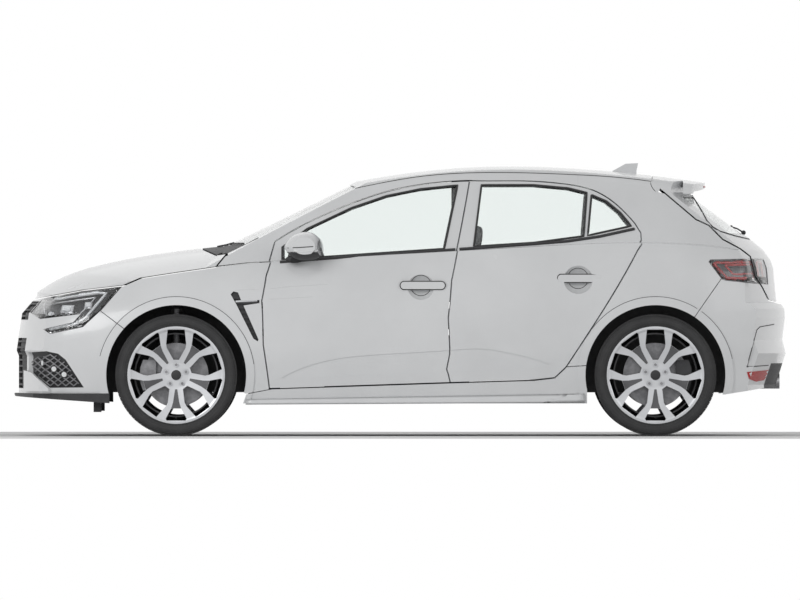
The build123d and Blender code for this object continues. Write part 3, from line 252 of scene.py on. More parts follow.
def bead(name, runs, radius, finish, body, ring=False):
    """Round beads along runs of points."""
    curve = bpy.data.curves.new(name, "CURVE")
    curve.dimensions = "3D"
    curve.bevel_depth = radius
    curve.bevel_resolution = 2
    curve.use_fill_caps = True
    for run in runs:
        if len(run) < 2:
            continue
        line = curve.splines.new("POLY")
        line.points.add(len(run) - 1)
        for spot, place in zip(line.points, run):
            spot.co = (*place, 1)
        line.use_cyclic_u = ring
    holder = bpy.data.objects.new(name + "_line", curve)
    bpy.context.scene.collection.objects.link(holder)
    bpy.context.view_layer.update()
    mesh = bpy.data.meshes.new_from_object(holder.evaluated_get(bpy.context.evaluated_depsgraph_get()))
    bpy.data.objects.remove(holder)
    bpy.data.curves.remove(curve)
    for face in mesh.polygons:
        face.use_smooth = True
    mesh.name = name
    return piece(name, mesh, finish, body)


def node_form(name, keep):
    """A merged copy of the faces of a CAD node that pass a test of middle and normal."""
    form = bmesh.new()
    form.from_mesh(nodes[name].data)
    bmesh.ops.remove_doubles(form, verts=form.verts, dist=MERGE_REACH)
    form.normal_update()
    gone = [face for face in form.faces if not keep(face.calc_center_median(), face.normal)]
    bmesh.ops.delete(form, geom=gone, context="FACES")
    return form


def sheet(steps, place):
    """A sheet of faces, each point placed by its share along and up. Where there is no place, it ends."""
    form = bmesh.new()
    bmesh.ops.create_grid(form, x_segments=steps[0], y_segments=steps[1], size=1)
    lost = []
    for vertex in form.verts:
        spot = place((vertex.co.x + 1) / 2, (vertex.co.y + 1) / 2)
        if spot is None:
            lost.append(vertex)
        else:
            vertex.co = spot
    bmesh.ops.delete(form, geom=lost, context="VERTS")
    loose = [vertex for vertex in form.verts if not vertex.link_faces]
    bmesh.ops.delete(form, geom=loose, context="VERTS")
    return form


def thicken(form, move):
    """Give a sheet its thickness by an extrusion along a straight move."""
    raised = bmesh.ops.extrude_face_region(form, geom=form.faces[:])["geom"]
    back = [item for item in raised if isinstance(item, bmesh.types.BMVert)]
    bmesh.ops.translate(form, verts=back, vec=move)


def round_edges(form, reach, segments):
    """Round all edges of a form."""
    bmesh.ops.bevel(
        form, geom=form.edges, offset=reach, offset_type="OFFSET", segments=segments, profile=0.5,
        affect="EDGES", material=-1,
    )


def peg(form, size, sides, place=Matrix()):
    """Add a peg with a foot radius, a head radius and a length."""
    foot, head, length = size
    bmesh.ops.create_cone(
        form, cap_ends=True, segments=sides, radius1=foot, radius2=head, depth=length, matrix=place
    )


# Wheels

# Half of the tyre's section, from a bead to the middle of the tread: radius, distance across
TREAD_FLOOR = 0.329
CHANNEL_FLOOR = 0.3235
TYRE_SECTION = (
    (0.2545, 0.088), (0.258, 0.097), (0.266, 0.104), (0.272, 0.1085), (0.2735, 0.110), (0.276, 0.109),
    (0.290, 0.1155), (0.300, 0.1170), (0.310, 0.1155), (0.3165, 0.1135), (0.318, 0.1145), (0.3215, 0.112),
    (0.3275, 0.103), (TREAD_FLOOR, 0.092), (TREAD_FLOOR, 0.062), (CHANNEL_FLOOR, 0.060),
    (CHANNEL_FLOOR, 0.051), (TREAD_FLOOR, 0.049), (TREAD_FLOOR, 0.018), (CHANNEL_FLOOR, 0.016),
    (CHANNEL_FLOOR, 0.007), (TREAD_FLOOR, 0.005),
)
TREAD_STEPS = 90
TREAD_REACH, TREAD_DEPTH = 0.104, 0.003
BLOCK_GAP, BLOCK_RISE = 0.0013, 0.0062
# Raised rows on the sidewalls: inner radius, outer radius, gap
SIDEWALL_ROWS = ((0.312, 0.3205, 0.0012), (0.276, 0.290, 0.0025))
SIDEWALL_PLANE, SIDEWALL_RISE = 0.108, 0.0012


def tyre(end, x, hand, side):
    """A low tyre with raised tread blocks and ribbed sidewalls."""
    y = side * WHEEL_PLANE
    form = bmesh.new()
    section = [*TYRE_SECTION, *((radius, -across) for radius, across in reversed(TYRE_SECTION))]
    rims = [form.verts.new((x, y + across, AXLE_HEIGHT + radius)) for radius, across in section]
    edges = [form.edges.new(pair) for pair in zip(rims, rims[1:])]
    bmesh.ops.spin(
        form, geom=rims + edges, cent=(x, y, AXLE_HEIGHT), axis=(0, 1, 0), angle=2 * pi, steps=TREAD_STEPS,
        use_merge=True,
    )
    bmesh.ops.recalc_face_normals(form, faces=form.faces)

    def radius_of(point):
        return hypot(point.x - x, point.z - AXLE_HEIGHT)

    def in_tread(point):
        return radius_of(point) > TREAD_FLOOR - TREAD_DEPTH and abs(point.y - y) < TREAD_REACH

    blocks = [face for face in form.faces if all(in_tread(vertex.co) for vertex in face.verts)]
    bmesh.ops.inset_individual(form, faces=blocks, thickness=BLOCK_GAP, depth=BLOCK_RISE)
    for inner, outer, gap in SIDEWALL_ROWS:
        row = []
        for face in form.faces:
            middle = face.calc_center_median()
            if inner < radius_of(middle) < outer and abs(middle.y - y) > SIDEWALL_PLANE:
                row.append(face)
        bmesh.ops.inset_individual(form, faces=row, thickness=gap, depth=SIDEWALL_RISE)
    thing = from_form(f"{end}_tyre_tread_{hand}", form, rubber, f"{end}_wheel_{hand}", smooth=False)
    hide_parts(f"{end}_tyre_{hand}")


for wheel in WHEELS:
    tyre(*wheel)

SPOKES = 5
# Grooves down the middle of the spokes: half width, radius
GROOVE = ((0.006, 0.078), (0.011, 0.110), (0.017, 0.150), (0.027, 0.183))
GROOVE_PROUD, GROOVE_THICK = 0.0008, 0.003
# The spokes' face leans out from this plane and radius
SPOKE_PLANE, SPOKE_FOOT, SPOKE_LEAN = 0.082, 0.070, 0.1056


def spoke_groove_shade(end, x, hand, side):
    """Dark strips of painted shade on the floors of the grooves that part each spoke into two ribs."""
    form = bmesh.new()
    for index in range(SPOKES):
        turn = radians(270 + 360 / SPOKES * index)
        out = Vector((cos(turn), 0, sin(turn)))
        across = Vector((-sin(turn), 0, cos(turn)))
        strip = bmesh.ops.create_grid(form, x_segments=1, y_segments=len(GROOVE) - 1, size=1)["verts"]
        for vertex in strip:
            half, radius = GROOVE[round((vertex.co.y + 1) / 2 * (len(GROOVE) - 1))]
            face = SPOKE_PLANE + (radius - SPOKE_FOOT) * SPOKE_LEAN + GROOVE_PROUD
            middle = Vector((x, side * (WHEEL_PLANE + face), AXLE_HEIGHT)) + out * radius
            vertex.co = middle + across * half * vertex.co.x
    thicken(form, (0, -side * GROOVE_THICK, 0))
    from_form(f"{end}_spoke_groove_shade_{hand}", form, wheel_shade, f"{end}_wheel_{hand}", smooth=False)


for wheel in WHEELS:
    spoke_groove_shade(*wheel)

ACROSS = Matrix.Rotation(pi / 2, 4, "X")
BOLTS, BOLT_CIRCLE, BOLT_PLANE, BOLT_START = 5, 0.057, 0.086, 18
BOLT_SIZE = (0.0095, 0.0085, 0.014)
CAP_RADIUS, CAP_PLANE, CAP_FLATNESS = 0.029, 0.0845, 0.2
VALVE_RADIUS, VALVE_PLANE = 0.236, 0.098
VALVE_SIZE = (0.004, 0.003, 0.030)


def wheel_trim(end, x, hand, side):
    """Wheel bolts, hub cap and valve."""
    body = f"{end}_wheel_{hand}"

    def place(radius, turn, plane):
        return Matrix.Translation(
            (x + radius * cos(turn), side * (WHEEL_PLANE + plane), AXLE_HEIGHT + radius * sin(turn))
        )

    form = bmesh.new()
    for index in range(BOLTS):
        turn = radians(BOLT_START + 360 / BOLTS * index)
        peg(form, BOLT_SIZE, 6, place(BOLT_CIRCLE, turn, BOLT_PLANE) @ ACROSS)
    from_form(f"{end}_wheel_bolts_{hand}", form, iron, body, smooth=False)
    form = bmesh.new()
    bmesh.ops.create_uvsphere(
        form, u_segments=32, v_segments=12, radius=CAP_RADIUS,
        matrix=place(0, 0, CAP_PLANE) @ Matrix.Diagonal((1, CAP_FLATNESS, 1, 1)),
    )
    from_form(f"{end}_hub_cap_{hand}", form, moulding, body)
    form = bmesh.new()
    peg(form, VALVE_SIZE, 12, place(VALVE_RADIUS, -pi / 2, VALVE_PLANE) @ ACROSS)
    from_form(f"{end}_valve_{hand}", form, rubber, body)


for wheel in WHEELS:
    wheel_trim(*wheel)


# Windows

WINDOW_LINES = {
    "front_door": (
        (-0.645, 0.972), (-0.645, 1.040), (-0.508, 1.141), (-0.265, 1.253), (-0.077, 1.319), (0.110, 1.358),
        (0.312, 1.379), (0.238, 1.032),
    ),
    "rear_door": (
        (0.409, 1.045), (0.452, 1.380), (0.736, 1.378), (0.923, 1.362), (1.024, 1.338), (1.006, 1.102),
        (0.736, 1.068),
    ),
    "rear_quarter": ((1.057, 1.324), (1.137, 1.288), (1.209, 1.228), (1.268, 1.158), (1.036, 1.107)),
}
WINDOWS_OF_DOOR = {"front_door": ("front_door",), "rear_door": ("rear_door", "rear_quarter")}
SEAL_GROWTH, SEAL_RADIUS = 0.004, 0.006
TRIM_PROUD = 0.001
BELT_LINES = {
    "front_door": ((-0.662, 0.957), (-0.433, 0.975), (-0.077, 1.000), (0.232, 1.021), (0.303, 1.026)),
    "rear_door": ((0.326, 1.028), (0.736, 1.057), (0.923, 1.072), (1.100, 1.098), (1.290, 1.140)),
}
BELT_RADIUS = 0.0085


def outer_loop(corners, grow):
    """A closed line drawn a little outside a window's outline."""
    middle = Vector((sum(x for x, z in corners), sum(z for x, z in corners))) / len(corners)
    moved = []
    for x, z in corners:
        away = (Vector((x, z)) - middle).normalized()
        moved.append((x + away.x * grow, z + away.y * grow))
    return [*moved, moved[0]]


def window_seals(hand, side):
    """Rubber seals round the panes of the doors."""
    for door, outlines in WINDOWS_OF_DOOR.items():
        tree = search_tree(f"{door}_{hand}", f"{door}_glass_{hand}")
        loops = [outer_loop(WINDOW_LINES[key], SEAL_GROWTH) for key in outlines]
        runs = [side_run(tree, loop, side, TRIM_PROUD) for loop in loops]
        bead(f"{door}_window_seal_{hand}", runs, SEAL_RADIUS, rubber, f"{door}_{hand}")


def belt_mouldings(hand, side):
    """The dark strip along the foot of the side windows."""
    for door, line in BELT_LINES.items():
        run = side_run(search_tree(f"{door}_{hand}"), line, side, TRIM_PROUD)
        bead(f"{door}_belt_moulding_{hand}", [run], BELT_RADIUS, moulding, f"{door}_{hand}")


for hand, side in SIDES:
    window_seals(hand, side)
for hand, side in SIDES:
    belt_mouldings(hand, side)


# Lamps

LENS_THICK = 0.003
HOUSING_THICK = 0.002
# Lamp: node, body, name, the way it faces, how squarely a face looks that way, inside
LAMPS = (
    ("headlamps", "body_shell", "headlamp", (-0.5, 0.8, 0.3), 0.6, lamp_black),
    ("tail_lamps", "body_shell", "tail_lamp", (0.6, 0.75, 0.1), 0.7, lamp_grey),
    ("tailgate_lamps", "tailgate", "tailgate_lamp", (0.75, 0.65, 0.0), 0.6, lamp_grey),
)


def lamp_unit(node, body, name, facing, limit, inside_finish):
    """A lamp made as an open housing behind a clear lens."""

    def faces_out(middle, normal):
        side = -1 if middle.y < 0 else 1
        return normal.dot(Vector((facing[0], side * facing[1], facing[2]))) > limit

    form = node_form(node, lambda middle, normal: not faces_out(middle, normal))
    bmesh.ops.solidify(form, geom=form.faces, thickness=HOUSING_THICK)
    housing = bpy.data.meshes.new(name + "_housing")
    form.to_mesh(housing)
    form.free()
    housing_piece = piece(name + "_housing", housing, inside_finish, body)
    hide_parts(node)
    form = node_form(node, faces_out)
    bmesh.ops.solidify(form, geom=form.faces, thickness=LENS_THICK)
    for face in form.faces:
        face.smooth = True
    lens_mesh = bpy.data.meshes.new(name + "_lens")
    form.to_mesh(lens_mesh)
    form.free()
    piece(name + "_lens", lens_mesh, lens, body)


for lamp in LAMPS:
    lamp_unit(*lamp)


POD_ROUND = 0.006
STUD_TAPER = 0.86


def pod(name, tree, x, z, side, depth, size, finish, body, slot):
    """A small rounded block set a depth behind the surface and square to it."""
    hit, normal = side_hit(tree, x, z, side)
    turn = normal.to_track_quat("Y", "Z").to_matrix().to_4x4()
    form = bmesh.new()
    bmesh.ops.create_cube(form, size=1, matrix=Matrix.Diagonal((*size, 1)))
    round_edges(form, POD_ROUND, 2)
    bmesh.ops.transform(form, verts=form.verts, matrix=Matrix.Translation(hit - normal * depth) @ turn)
    return from_form(name, form, finish, body)


def stud(name, tree, x, z, side, depth, radius, thick, finish, body):
    """A short round boss set a depth behind the surface and square to it."""
    hit, normal = side_hit(tree, x, z, side)
    turn = normal.to_track_quat("Z", "Y").to_matrix().to_4x4()
    form = bmesh.new()
    peg(form, (radius, radius * STUD_TAPER, thick), 28)
    bmesh.ops.transform(form, verts=form.verts, matrix=Matrix.Translation(hit - normal * depth) @ turn)
    return from_form(name, form, finish, body, smooth=False)


HEADLAMP_TREE = search_tree("headlamps")
GUIDE_LINE = (
    (-1.965, 0.757), (-1.660, 0.798), (-1.620, 0.795), (-1.735, 0.655), (-1.790, 0.622), (-1.935, 0.590)
)
INNER_FRAME = ((-1.980, 0.735), (-1.680, 0.775), (-1.765, 0.680), (-1.965, 0.650))
GUIDE_DEPTH, GUIDE_RADIUS = 0.016, 0.0075
FRAME_DEPTH, FRAME_RADIUS = 0.022, 0.005
# Reflectors: place in the side view, width, height
REFLECTORS = ((-1.842, 0.713, 0.078, 0.056), (-1.722, 0.733, 0.046, 0.046), (-1.944, 0.688, 0.052, 0.036))
REFLECTOR_DEPTH, ELEMENT_DEPTH, REFLECTOR_THICK = 0.034, 0.026, 0.02
ELEMENT_SHARE = (0.7, 0.66)


def headlamp_inside(hand, side):
    """Light guide, frame and three reflectors with their light elements."""
    body = "body_shell"
    run = side_run(HEADLAMP_TREE, GUIDE_LINE, side, -GUIDE_DEPTH)
    bead(f"headlamp_guide_{hand}", [run], GUIDE_RADIUS, lamp_white, body)
    run = side_run(HEADLAMP_TREE, [*INNER_FRAME, INNER_FRAME[0]], side, -FRAME_DEPTH)
    bead(f"headlamp_frame_{hand}", [run], FRAME_RADIUS, steel, body)
    for index, (x, z, wide, tall) in enumerate(REFLECTORS):
        spot = (HEADLAMP_TREE, x, z, side)
        size = (wide, REFLECTOR_THICK, tall)
        pod(f"headlamp_reflector_{index}_{hand}", *spot, REFLECTOR_DEPTH, size, steel, body, "exhaust")
        size = (wide * ELEMENT_SHARE[0], REFLECTOR_THICK, tall * ELEMENT_SHARE[1])
        pod(f"headlamp_element_{index}_{hand}", *spot, ELEMENT_DEPTH, size, lamp_white, body, "lens")


for hand, side in SIDES:
    headlamp_inside(hand, side)

TAIL_TREE = search_tree("tail_lamps", "tailgate_lamps")
# Light guides of the tail lamps: name, body, line
TAIL_GUIDES = (
    ("tail_guide_outer", "body_shell", ((1.728, 0.957), (1.950, 0.962), (1.950, 0.872), (1.800, 0.876))),
    ("tail_guide_inner", "body_shell", ((1.790, 0.945), (1.945, 0.948), (1.945, 0.893), (1.835, 0.895))),
    ("gate_guide", "tailgate", ((1.975, 0.962), (2.048, 0.963), (2.040, 0.868), (1.985, 0.871))),
)
TAIL_GUIDE_DEPTH, TAIL_GUIDE_RADIUS = 0.014, 0.006
for hand, side in SIDES:
    for name, body, line in TAIL_GUIDES:
        run = side_run(TAIL_TREE, [*line, line[0]], side, -TAIL_GUIDE_DEPTH)
        bead(f"{name}_{hand}", [run], TAIL_GUIDE_RADIUS, lamp_red, body)


# Nose

NOSE_TREE = search_tree("front_bumper", "fog_intakes")
MESH_AREA = (
    (-2.030, 0.390), (-2.005, 0.430), (-1.930, 0.452), (-1.880, 0.445), (-1.835, 0.405), (-1.755, 0.278),
    (-1.925, 0.278), (-1.985, 0.330),
)
MESH_MIDDLE = (-1.9, 0.365)
MESH_FRONT, MESH_POINTS, MESH_STEP = -2.06, 60, 0.006
MESH_PITCH, MESH_SLOPE, MESH_WIRES = 0.034, 0.8, 24
MESH_PROUD, MESH_RADIUS = 0.012, 0.0035
FOG_LAMPS = ((-1.955, 0.402), (-1.900, 0.372), (-1.845, 0.342))
# Round parts of a fog lamp: name, how far it stands out, radius, thickness, finish, slot
FOG_PARTS = (
    ("fog_bezel", 0.008, 0.024, 0.014, moulding, "trim"),
    ("fog_lamp", 0.013, 0.016, 0.012, lamp_white, "lens"),
)


def inside(corners, x, z):
    """Whether a place of the side view lies within an outline."""
    crossings = 0
    for (x0, z0), (x1, z1) in zip(corners, (*corners[1:], corners[0])):
        if (z0 > z) != (z1 > z) and x < x0 + (x1 - x0) * (z - z0) / (z1 - z0):
            crossings += 1
    return crossings % 2 == 1


def mesh_wire(lean, index, side):
    """One slanting wire of the fog mesh."""
    run = []
    for spot in range(MESH_POINTS):
        x = MESH_FRONT + spot * MESH_STEP
        z = MESH_MIDDLE[1] + lean * (x - MESH_MIDDLE[0]) * MESH_SLOPE + index * MESH_PITCH
        if inside(MESH_AREA, x, z):
            run.append(on_side(NOSE_TREE, x, z, side, MESH_PROUD))
    return [point for point in run if point is not None]


for hand, side in SIDES:
    runs = [mesh_wire(lean, index, side) for lean in (-1, 1) for index in range(-MESH_WIRES, MESH_WIRES + 1)]
    bead(f"fog_mesh_{hand}", runs, MESH_RADIUS, iron, "body_shell")
    for index, (x, z) in enumerate(FOG_LAMPS):
        for name, proud, radius, thick, finish, slot in FOG_PARTS:
            named = f"{name}_{index}_{hand}"
            stud(named, NOSE_TREE, x, z, side, -proud, radius, thick, finish, "body_shell")

# Blade round each corner of the nose, on the plan curve of the bumper
NOSE_TIP, NOSE_CURVE = -2.130, 2.2
FLANK_X, FLANK_HALF, FLANK_SLOPE = -1.880, 0.855, 0.567
BLADE_FRONT, BLADE_REAR = -2.078, -1.937
BLADE_FOOT = 0.246
BLADE_KNEE = (-2.031, 0.348)
BLADE_TOP, BLADE_TAIL = 0.362, 0.262
BLADE_STEPS = (32, 5)
BLADE_PROUD = 0.006
BLADE_THICK = (0.010, 0.012)


def blade_height(x):
    """Upper edge of the blade in the side view."""
    knee_x, knee_z = BLADE_KNEE
    if x < knee_x:
        return BLADE_TOP + (knee_z - BLADE_TOP) * (x - BLADE_FRONT) / (knee_x - BLADE_FRONT)
    return knee_z + (BLADE_TAIL - knee_z) * (x - knee_x) / (BLADE_REAR - knee_x)


def bumper_blade(hand, side):
    """A painted blade that wraps round the lower corner of the nose."""

    def place(along, up):
        x = BLADE_FRONT + (BLADE_REAR - BLADE_FRONT) * along
        nose = sqrt(2 * NOSE_CURVE * (x - NOSE_TIP))
        flank = FLANK_HALF + FLANK_SLOPE * (x - FLANK_X)
        return x, side * (min(nose, flank) + BLADE_PROUD), BLADE_FOOT + (blade_height(x) - BLADE_FOOT) * up

    form = sheet(BLADE_STEPS, place)
    thicken(form, (BLADE_THICK[0], -side * BLADE_THICK[1], 0))
    from_form(f"bumper_blade_{hand}", form, paint, "body_shell", smooth=False)


for hand, side in SIDES:
    bumper_blade(hand, side)


# Tail

REAR_TREE = search_tree("rear_bumper")
REFLECTOR_LINE = ((1.907, 0.353), (2.056, 0.366), (2.012, 0.309), (1.957, 0.300), (1.918, 0.315))
REFLECTOR_PROUD, REFLECTOR_PLATE = 0.003, 0.008
OUTLET_EDGES = (
    ((1.907, 0.381), (1.962, 0.584), (1.979, 0.601), (2.061, 0.615)),
    ((1.907, 0.381), (2.070, 0.392)),
)
OUTLET_RADIUS = 0.0028


def rear_reflector(hand, side):
    """A red plate laid on the rear bumper."""
    form = bmesh.new()
    face = form.faces.new([form.verts.new((x, 0, z)) for x, z in REFLECTOR_LINE])
    bmesh.ops.triangulate(form, faces=[face])
    bmesh.ops.subdivide_edges(form, edges=form.edges, cuts=5, use_grid_fill=True)
    lost = []
    for vertex in form.verts:
        spot = on_side(REAR_TREE, vertex.co.x, vertex.co.z, side, REFLECTOR_PROUD)
        if spot is None:
            lost.append(vertex)
        else:
            vertex.co = spot
    bmesh.ops.delete(form, geom=lost, context="VERTS")
    thicken(form, (0, -side * REFLECTOR_PLATE, 0))
    from_form(f"rear_reflector_{hand}", form, lamp_red, "body_shell", smooth=False)


for hand, side in SIDES:
    rear_reflector(hand, side)
# Dark beads along the edges of the bumper outlet: painted shade for the recess there
for hand, side in SIDES:
    runs = [side_run(REAR_TREE, line, side) for line in OUTLET_EDGES]
    bead(f"bumper_outlet_edge_{hand}", runs, OUTLET_RADIUS, moulding, "body_shell")


# Sides

SILL_TREE = search_tree("sill_panels")
SILL_FRONT, SILL_LENGTH = -0.850, 1.865
# Lower and upper edge of the sill blade: height at its front, rise to its rear
SILL_FOOT, SILL_EDGE = (0.186, 0.010), (0.204, 0.030)
SILL_PROUD, SILL_FLARE, SILL_THICK = 0.004, 0.008, 0.010
SILL_STEPS = (40, 2)


def sill_blade(hand, side):
    """A blade along the foot of the sill, which stands out further at its lower edge."""

    def place(along, up):
        low = SILL_FOOT[0] + SILL_FOOT[1] * along
        high = SILL_EDGE[0] + SILL_EDGE[1] * along
        x, z = SILL_FRONT + along * SILL_LENGTH, low + (high - low) * up
        return on_side(SILL_TREE, x, z, side, SILL_PROUD + SILL_FLARE * (1 - up))

    form = sheet(SILL_STEPS, place)
    thicken(form, (0, 0, -SILL_THICK))
    from_form(f"sill_blade_{hand}", form, paint, "body_shell")


for hand, side in SIDES:
    sill_blade(hand, side)

# Swage lines of the front doors and fenders
DOOR_SWAGES = (
    ("front_door_swage", ((-0.720, 0.812), (-0.600, 0.822), (-0.397, 0.836))),
    ("front_door_low_swage", ((-0.720, 0.752), (-0.560, 0.762), (-0.480, 0.766))),
)
FENDER_SWAGE = ((-0.915, 0.800), (-0.850, 0.806), (-0.775, 0.810))
VENT_BLADE = ((-0.905, 0.738), (-0.860, 0.741), (-0.786, 0.745))
SWAGE_DEPTH, SWAGE_RADIUS = 0.0008, 0.0022
VENT_PROUD, VENT_RADIUS = 0.004, 0.009
for hand, side in SIDES:
    tree = search_tree(f"front_door_{hand}")
    for name, line in DOOR_SWAGES:
        run = side_run(tree, line, side, -SWAGE_DEPTH)
        bead(f"{name}_{hand}", [run], SWAGE_RADIUS, paint, f"front_door_{hand}")
    run = side_run(search_tree("front_fenders"), FENDER_SWAGE, side, -SWAGE_DEPTH)
    bead(f"fender_swage_{hand}", [run], SWAGE_RADIUS, paint, "body_shell")
    run = side_run(search_tree("front_fenders", "fender_vents"), VENT_BLADE, side, VENT_PROUD)
    bead(f"vent_blade_{hand}", [run], VENT_RADIUS, alloy, "body_shell")

# Seams round the flared wheel arches: end, first and last angle, nodes
ARCHES = (
    ("front", 8, 166, ("front_fenders", "front_bumper")),
    ("rear", 12, 150, ("quarter_panels", "rear_bumper")),
)
FLARE_SEAM, FLARE_RADIUS = 0.4315, 0.0018
SKIN_LEAST, SKIN_JUMP = 0.80, 0.012


def flare_runs(end, first, final, names, side):
    """Stretches of an arch line that lie on the outer skin."""
    tree = search_tree(*names)
    runs, run = [], []
    for angle in range(first, final + 1, 2):
        x = AXLES[end] + FLARE_SEAM * cos(radians(angle))
        z = AXLE_HEIGHT + FLARE_SEAM * sin(radians(angle))
        point = on_side(tree, x, z, side)
        on_skin = point is not None and abs(point.y) > SKIN_LEAST
        if on_skin and (not run or abs(point.y - run[-1].y) < SKIN_JUMP):
            run.append(point)
        elif len(run) > 2:
            runs.append(run)
            run = []
    return [*runs, run] if len(run) > 2 else runs


for hand, side in SIDES:
    for end, first, final, names in ARCHES:
        runs = flare_runs(end, first, final, names, side)
        bead(f"{end}_flare_seam_{hand}", runs, FLARE_RADIUS, cabin, "body_shell")

# Handles and the bowls behind them: door, middle of the handle
HANDLES = (("front_door", 0.124, 0.829), ("rear_door", 0.988, 0.868))
HANDLE_HALF, HANDLE_ROUND, HANDLE_THICK = 0.1215, 0.020, 0.020
HANDLE_STEPS, HANDLE_SHADE_RADIUS = 48, 0.0055
BOWL_SHIFT, BOWL_EDGE, BOWL_COVERED = 0.010, 0.0566, 0.022
BOWL_STEPS, BOWL_RADIUS = 72, 0.002


def handle_shade_ring(tree, x, z, side):
    """A ring of painted shade round the edge of a handle, drawn where its shadow gap falls."""
    y = on_side(tree, x, z, side).y - side * HANDLE_THICK / 2
    ring = []
    for step in range(HANDLE_STEPS):
        turn = 2 * pi * step / HANDLE_STEPS
        end = HANDLE_HALF - HANDLE_ROUND if cos(turn) >= 0 else HANDLE_ROUND - HANDLE_HALF
        ring.append(Vector((x + end + HANDLE_ROUND * cos(turn), y, z + HANDLE_ROUND * sin(turn))))
    return ring


def bowl_shade_lines(tree, x, z, side):
    """Lines of painted shade along the edge of a bowl, above and below its handle."""
    runs, run = [], []
    for step in range(BOWL_STEPS + 1):
        turn = 2 * pi * step / BOWL_STEPS
        rise = BOWL_EDGE * sin(turn)
        if abs(rise) > BOWL_COVERED:
            run.append(on_side(tree, x - BOWL_SHIFT + BOWL_EDGE * cos(turn), z + rise, side))
        elif run:
            runs.append(run)
            run = []
    return runs


for hand, side in SIDES:
    for door, x, z in HANDLES:
        tree = search_tree(f"{door}_{hand}")
        body = f"{door}_{hand}"
        # Dark moulding ring round the handle: painted shade for the shadow gap there
        shade_loop = handle_shade_ring(tree, x, z, side)
        bead(f"{door}_handle_seam_{hand}", [shade_loop], HANDLE_SHADE_RADIUS, moulding, body, ring=True)
        # Dark moulding lines on the bowl's edge: painted shade where the recess turns in
        edges = bowl_shade_lines(tree, x, z, side)
        bead(f"{door}_bowl_edge_{hand}", edges, BOWL_RADIUS, moulding, body)

# Lines on the mirrors: name, line, depth, radius, finish, slot
MIRROR_LINES = (
    (
        "mirror_seam", ((-0.618, 1.035), (-0.560, 1.037), (-0.500, 1.041), (-0.440, 1.045)),
        0.001, 0.003, moulding, "trim",
    ),
    (
        "mirror_repeater", ((-0.585, 1.020), (-0.540, 1.016), (-0.490, 1.018), (-0.455, 1.022)),
        0.0, 0.005, lamp_white, "lens",
    ),
)
for hand, side in SIDES:
    tree = search_tree(f"mirror_{hand}")
    for name, line, depth, radius, finish, slot in MIRROR_LINES:
        run = side_run(tree, line, side, -depth)
        bead(f"{name}_{hand}", [run], radius, finish, f"front_door_{hand}")


# Wipers

SCREEN_TREE = search_tree("windscreen", "cowl_panel", "roof_rails")
# The foot of the windscreen is an arc in plan
SCREEN_BOW = 4.454
WIPER_FOOT, WIPER_PIVOT = -0.940, -1.010
# Ends of each front wiper blade across the car
FRONT_WIPERS = ((-0.60, -0.03), (0.05, 0.58))
WIPER_STEPS, WIPER_PROUD = 24, 0.005
WIPER_RADIUS, WIPER_ARM_RADIUS = 0.004, 0.0045
PIVOT_SHIFT, PIVOT_PROUD, ARM_RISE = 0.06, 0.003, 0.003
for index, (start, stop) in enumerate(FRONT_WIPERS):
    blade = []
    for step in range(WIPER_STEPS + 1):
        y = start + (stop - start) * step / WIPER_STEPS
        blade.append(on_top(SCREEN_TREE, WIPER_FOOT + y * y / SCREEN_BOW, y, WIPER_PROUD))
    bead(f"wiper_blade_{index}", [blade], WIPER_RADIUS, rubber, "body_shell")
    pivot_x = WIPER_PIVOT + stop * stop / SCREEN_BOW
    root = on_top(SCREEN_TREE, pivot_x, stop - PIVOT_SHIFT, PIVOT_PROUD)
    middle = blade[WIPER_STEPS // 2]
    arm = [root, root.lerp(middle, 0.5), middle + Vector((0, 0, ARM_RISE))]
    bead(f"wiper_arm_{index}", [arm], WIPER_ARM_RADIUS, moulding, "body_shell")

GATE_TREE = search_tree("tailgate", "tailgate_glass")
REAR_BLADE_X, REAR_BLADE_LEAN, REAR_BLADE_PROUD = 1.835, 0.04, 0.004
REAR_BLADE_PLACES = (-0.02, 0.08, 0.18, 0.28, 0.36)
REAR_HUB_X, REAR_HUB_PROUD, REAR_HUB_RADIUS = 1.902, 0.010, 0.013
REAR_ARM_BOW = Vector((0.004, 0, 0.004))


def rear_wiper():
    """Blade, hub and arm of the wiper on the rear window."""
    blade = []
    for y in REAR_BLADE_PLACES:
        blade.append(on_top(GATE_TREE, REAR_BLADE_X - abs(y) * REAR_BLADE_LEAN, y, REAR_BLADE_PROUD))
    bead("rear_wiper_blade", [blade], WIPER_RADIUS, rubber, "tailgate")
    hub = on_top(GATE_TREE, REAR_HUB_X, 0.0, REAR_HUB_PROUD)
    form = bmesh.new()
    bmesh.ops.create_uvsphere(
        form, u_segments=20, v_segments=10, radius=REAR_HUB_RADIUS, matrix=Matrix.Translation(hub)
    )
    from_form("rear_wiper_hub", form, moulding, "tailgate")
    arm = [hub, hub.lerp(blade[2], 0.5) + REAR_ARM_BOW, blade[2]]
    bead("rear_wiper_arm", [arm], WIPER_ARM_RADIUS, moulding, "tailgate")


rear_wiper()

REAR_GLASS_EDGE = (
    (1.616, 1.327), (1.662, 1.244), (1.701, 1.164), (1.760, 1.128), (1.845, 1.103), (1.929, 1.085)
)
GLASS_EDGE_RADIUS = 0.0045
for hand, side in SIDES:
    run = side_run(GATE_TREE, REAR_GLASS_EDGE, side)
    bead(f"rear_glass_edge_{hand}", [run], GLASS_EDGE_RADIUS, moulding, "tailgate")


# Seats


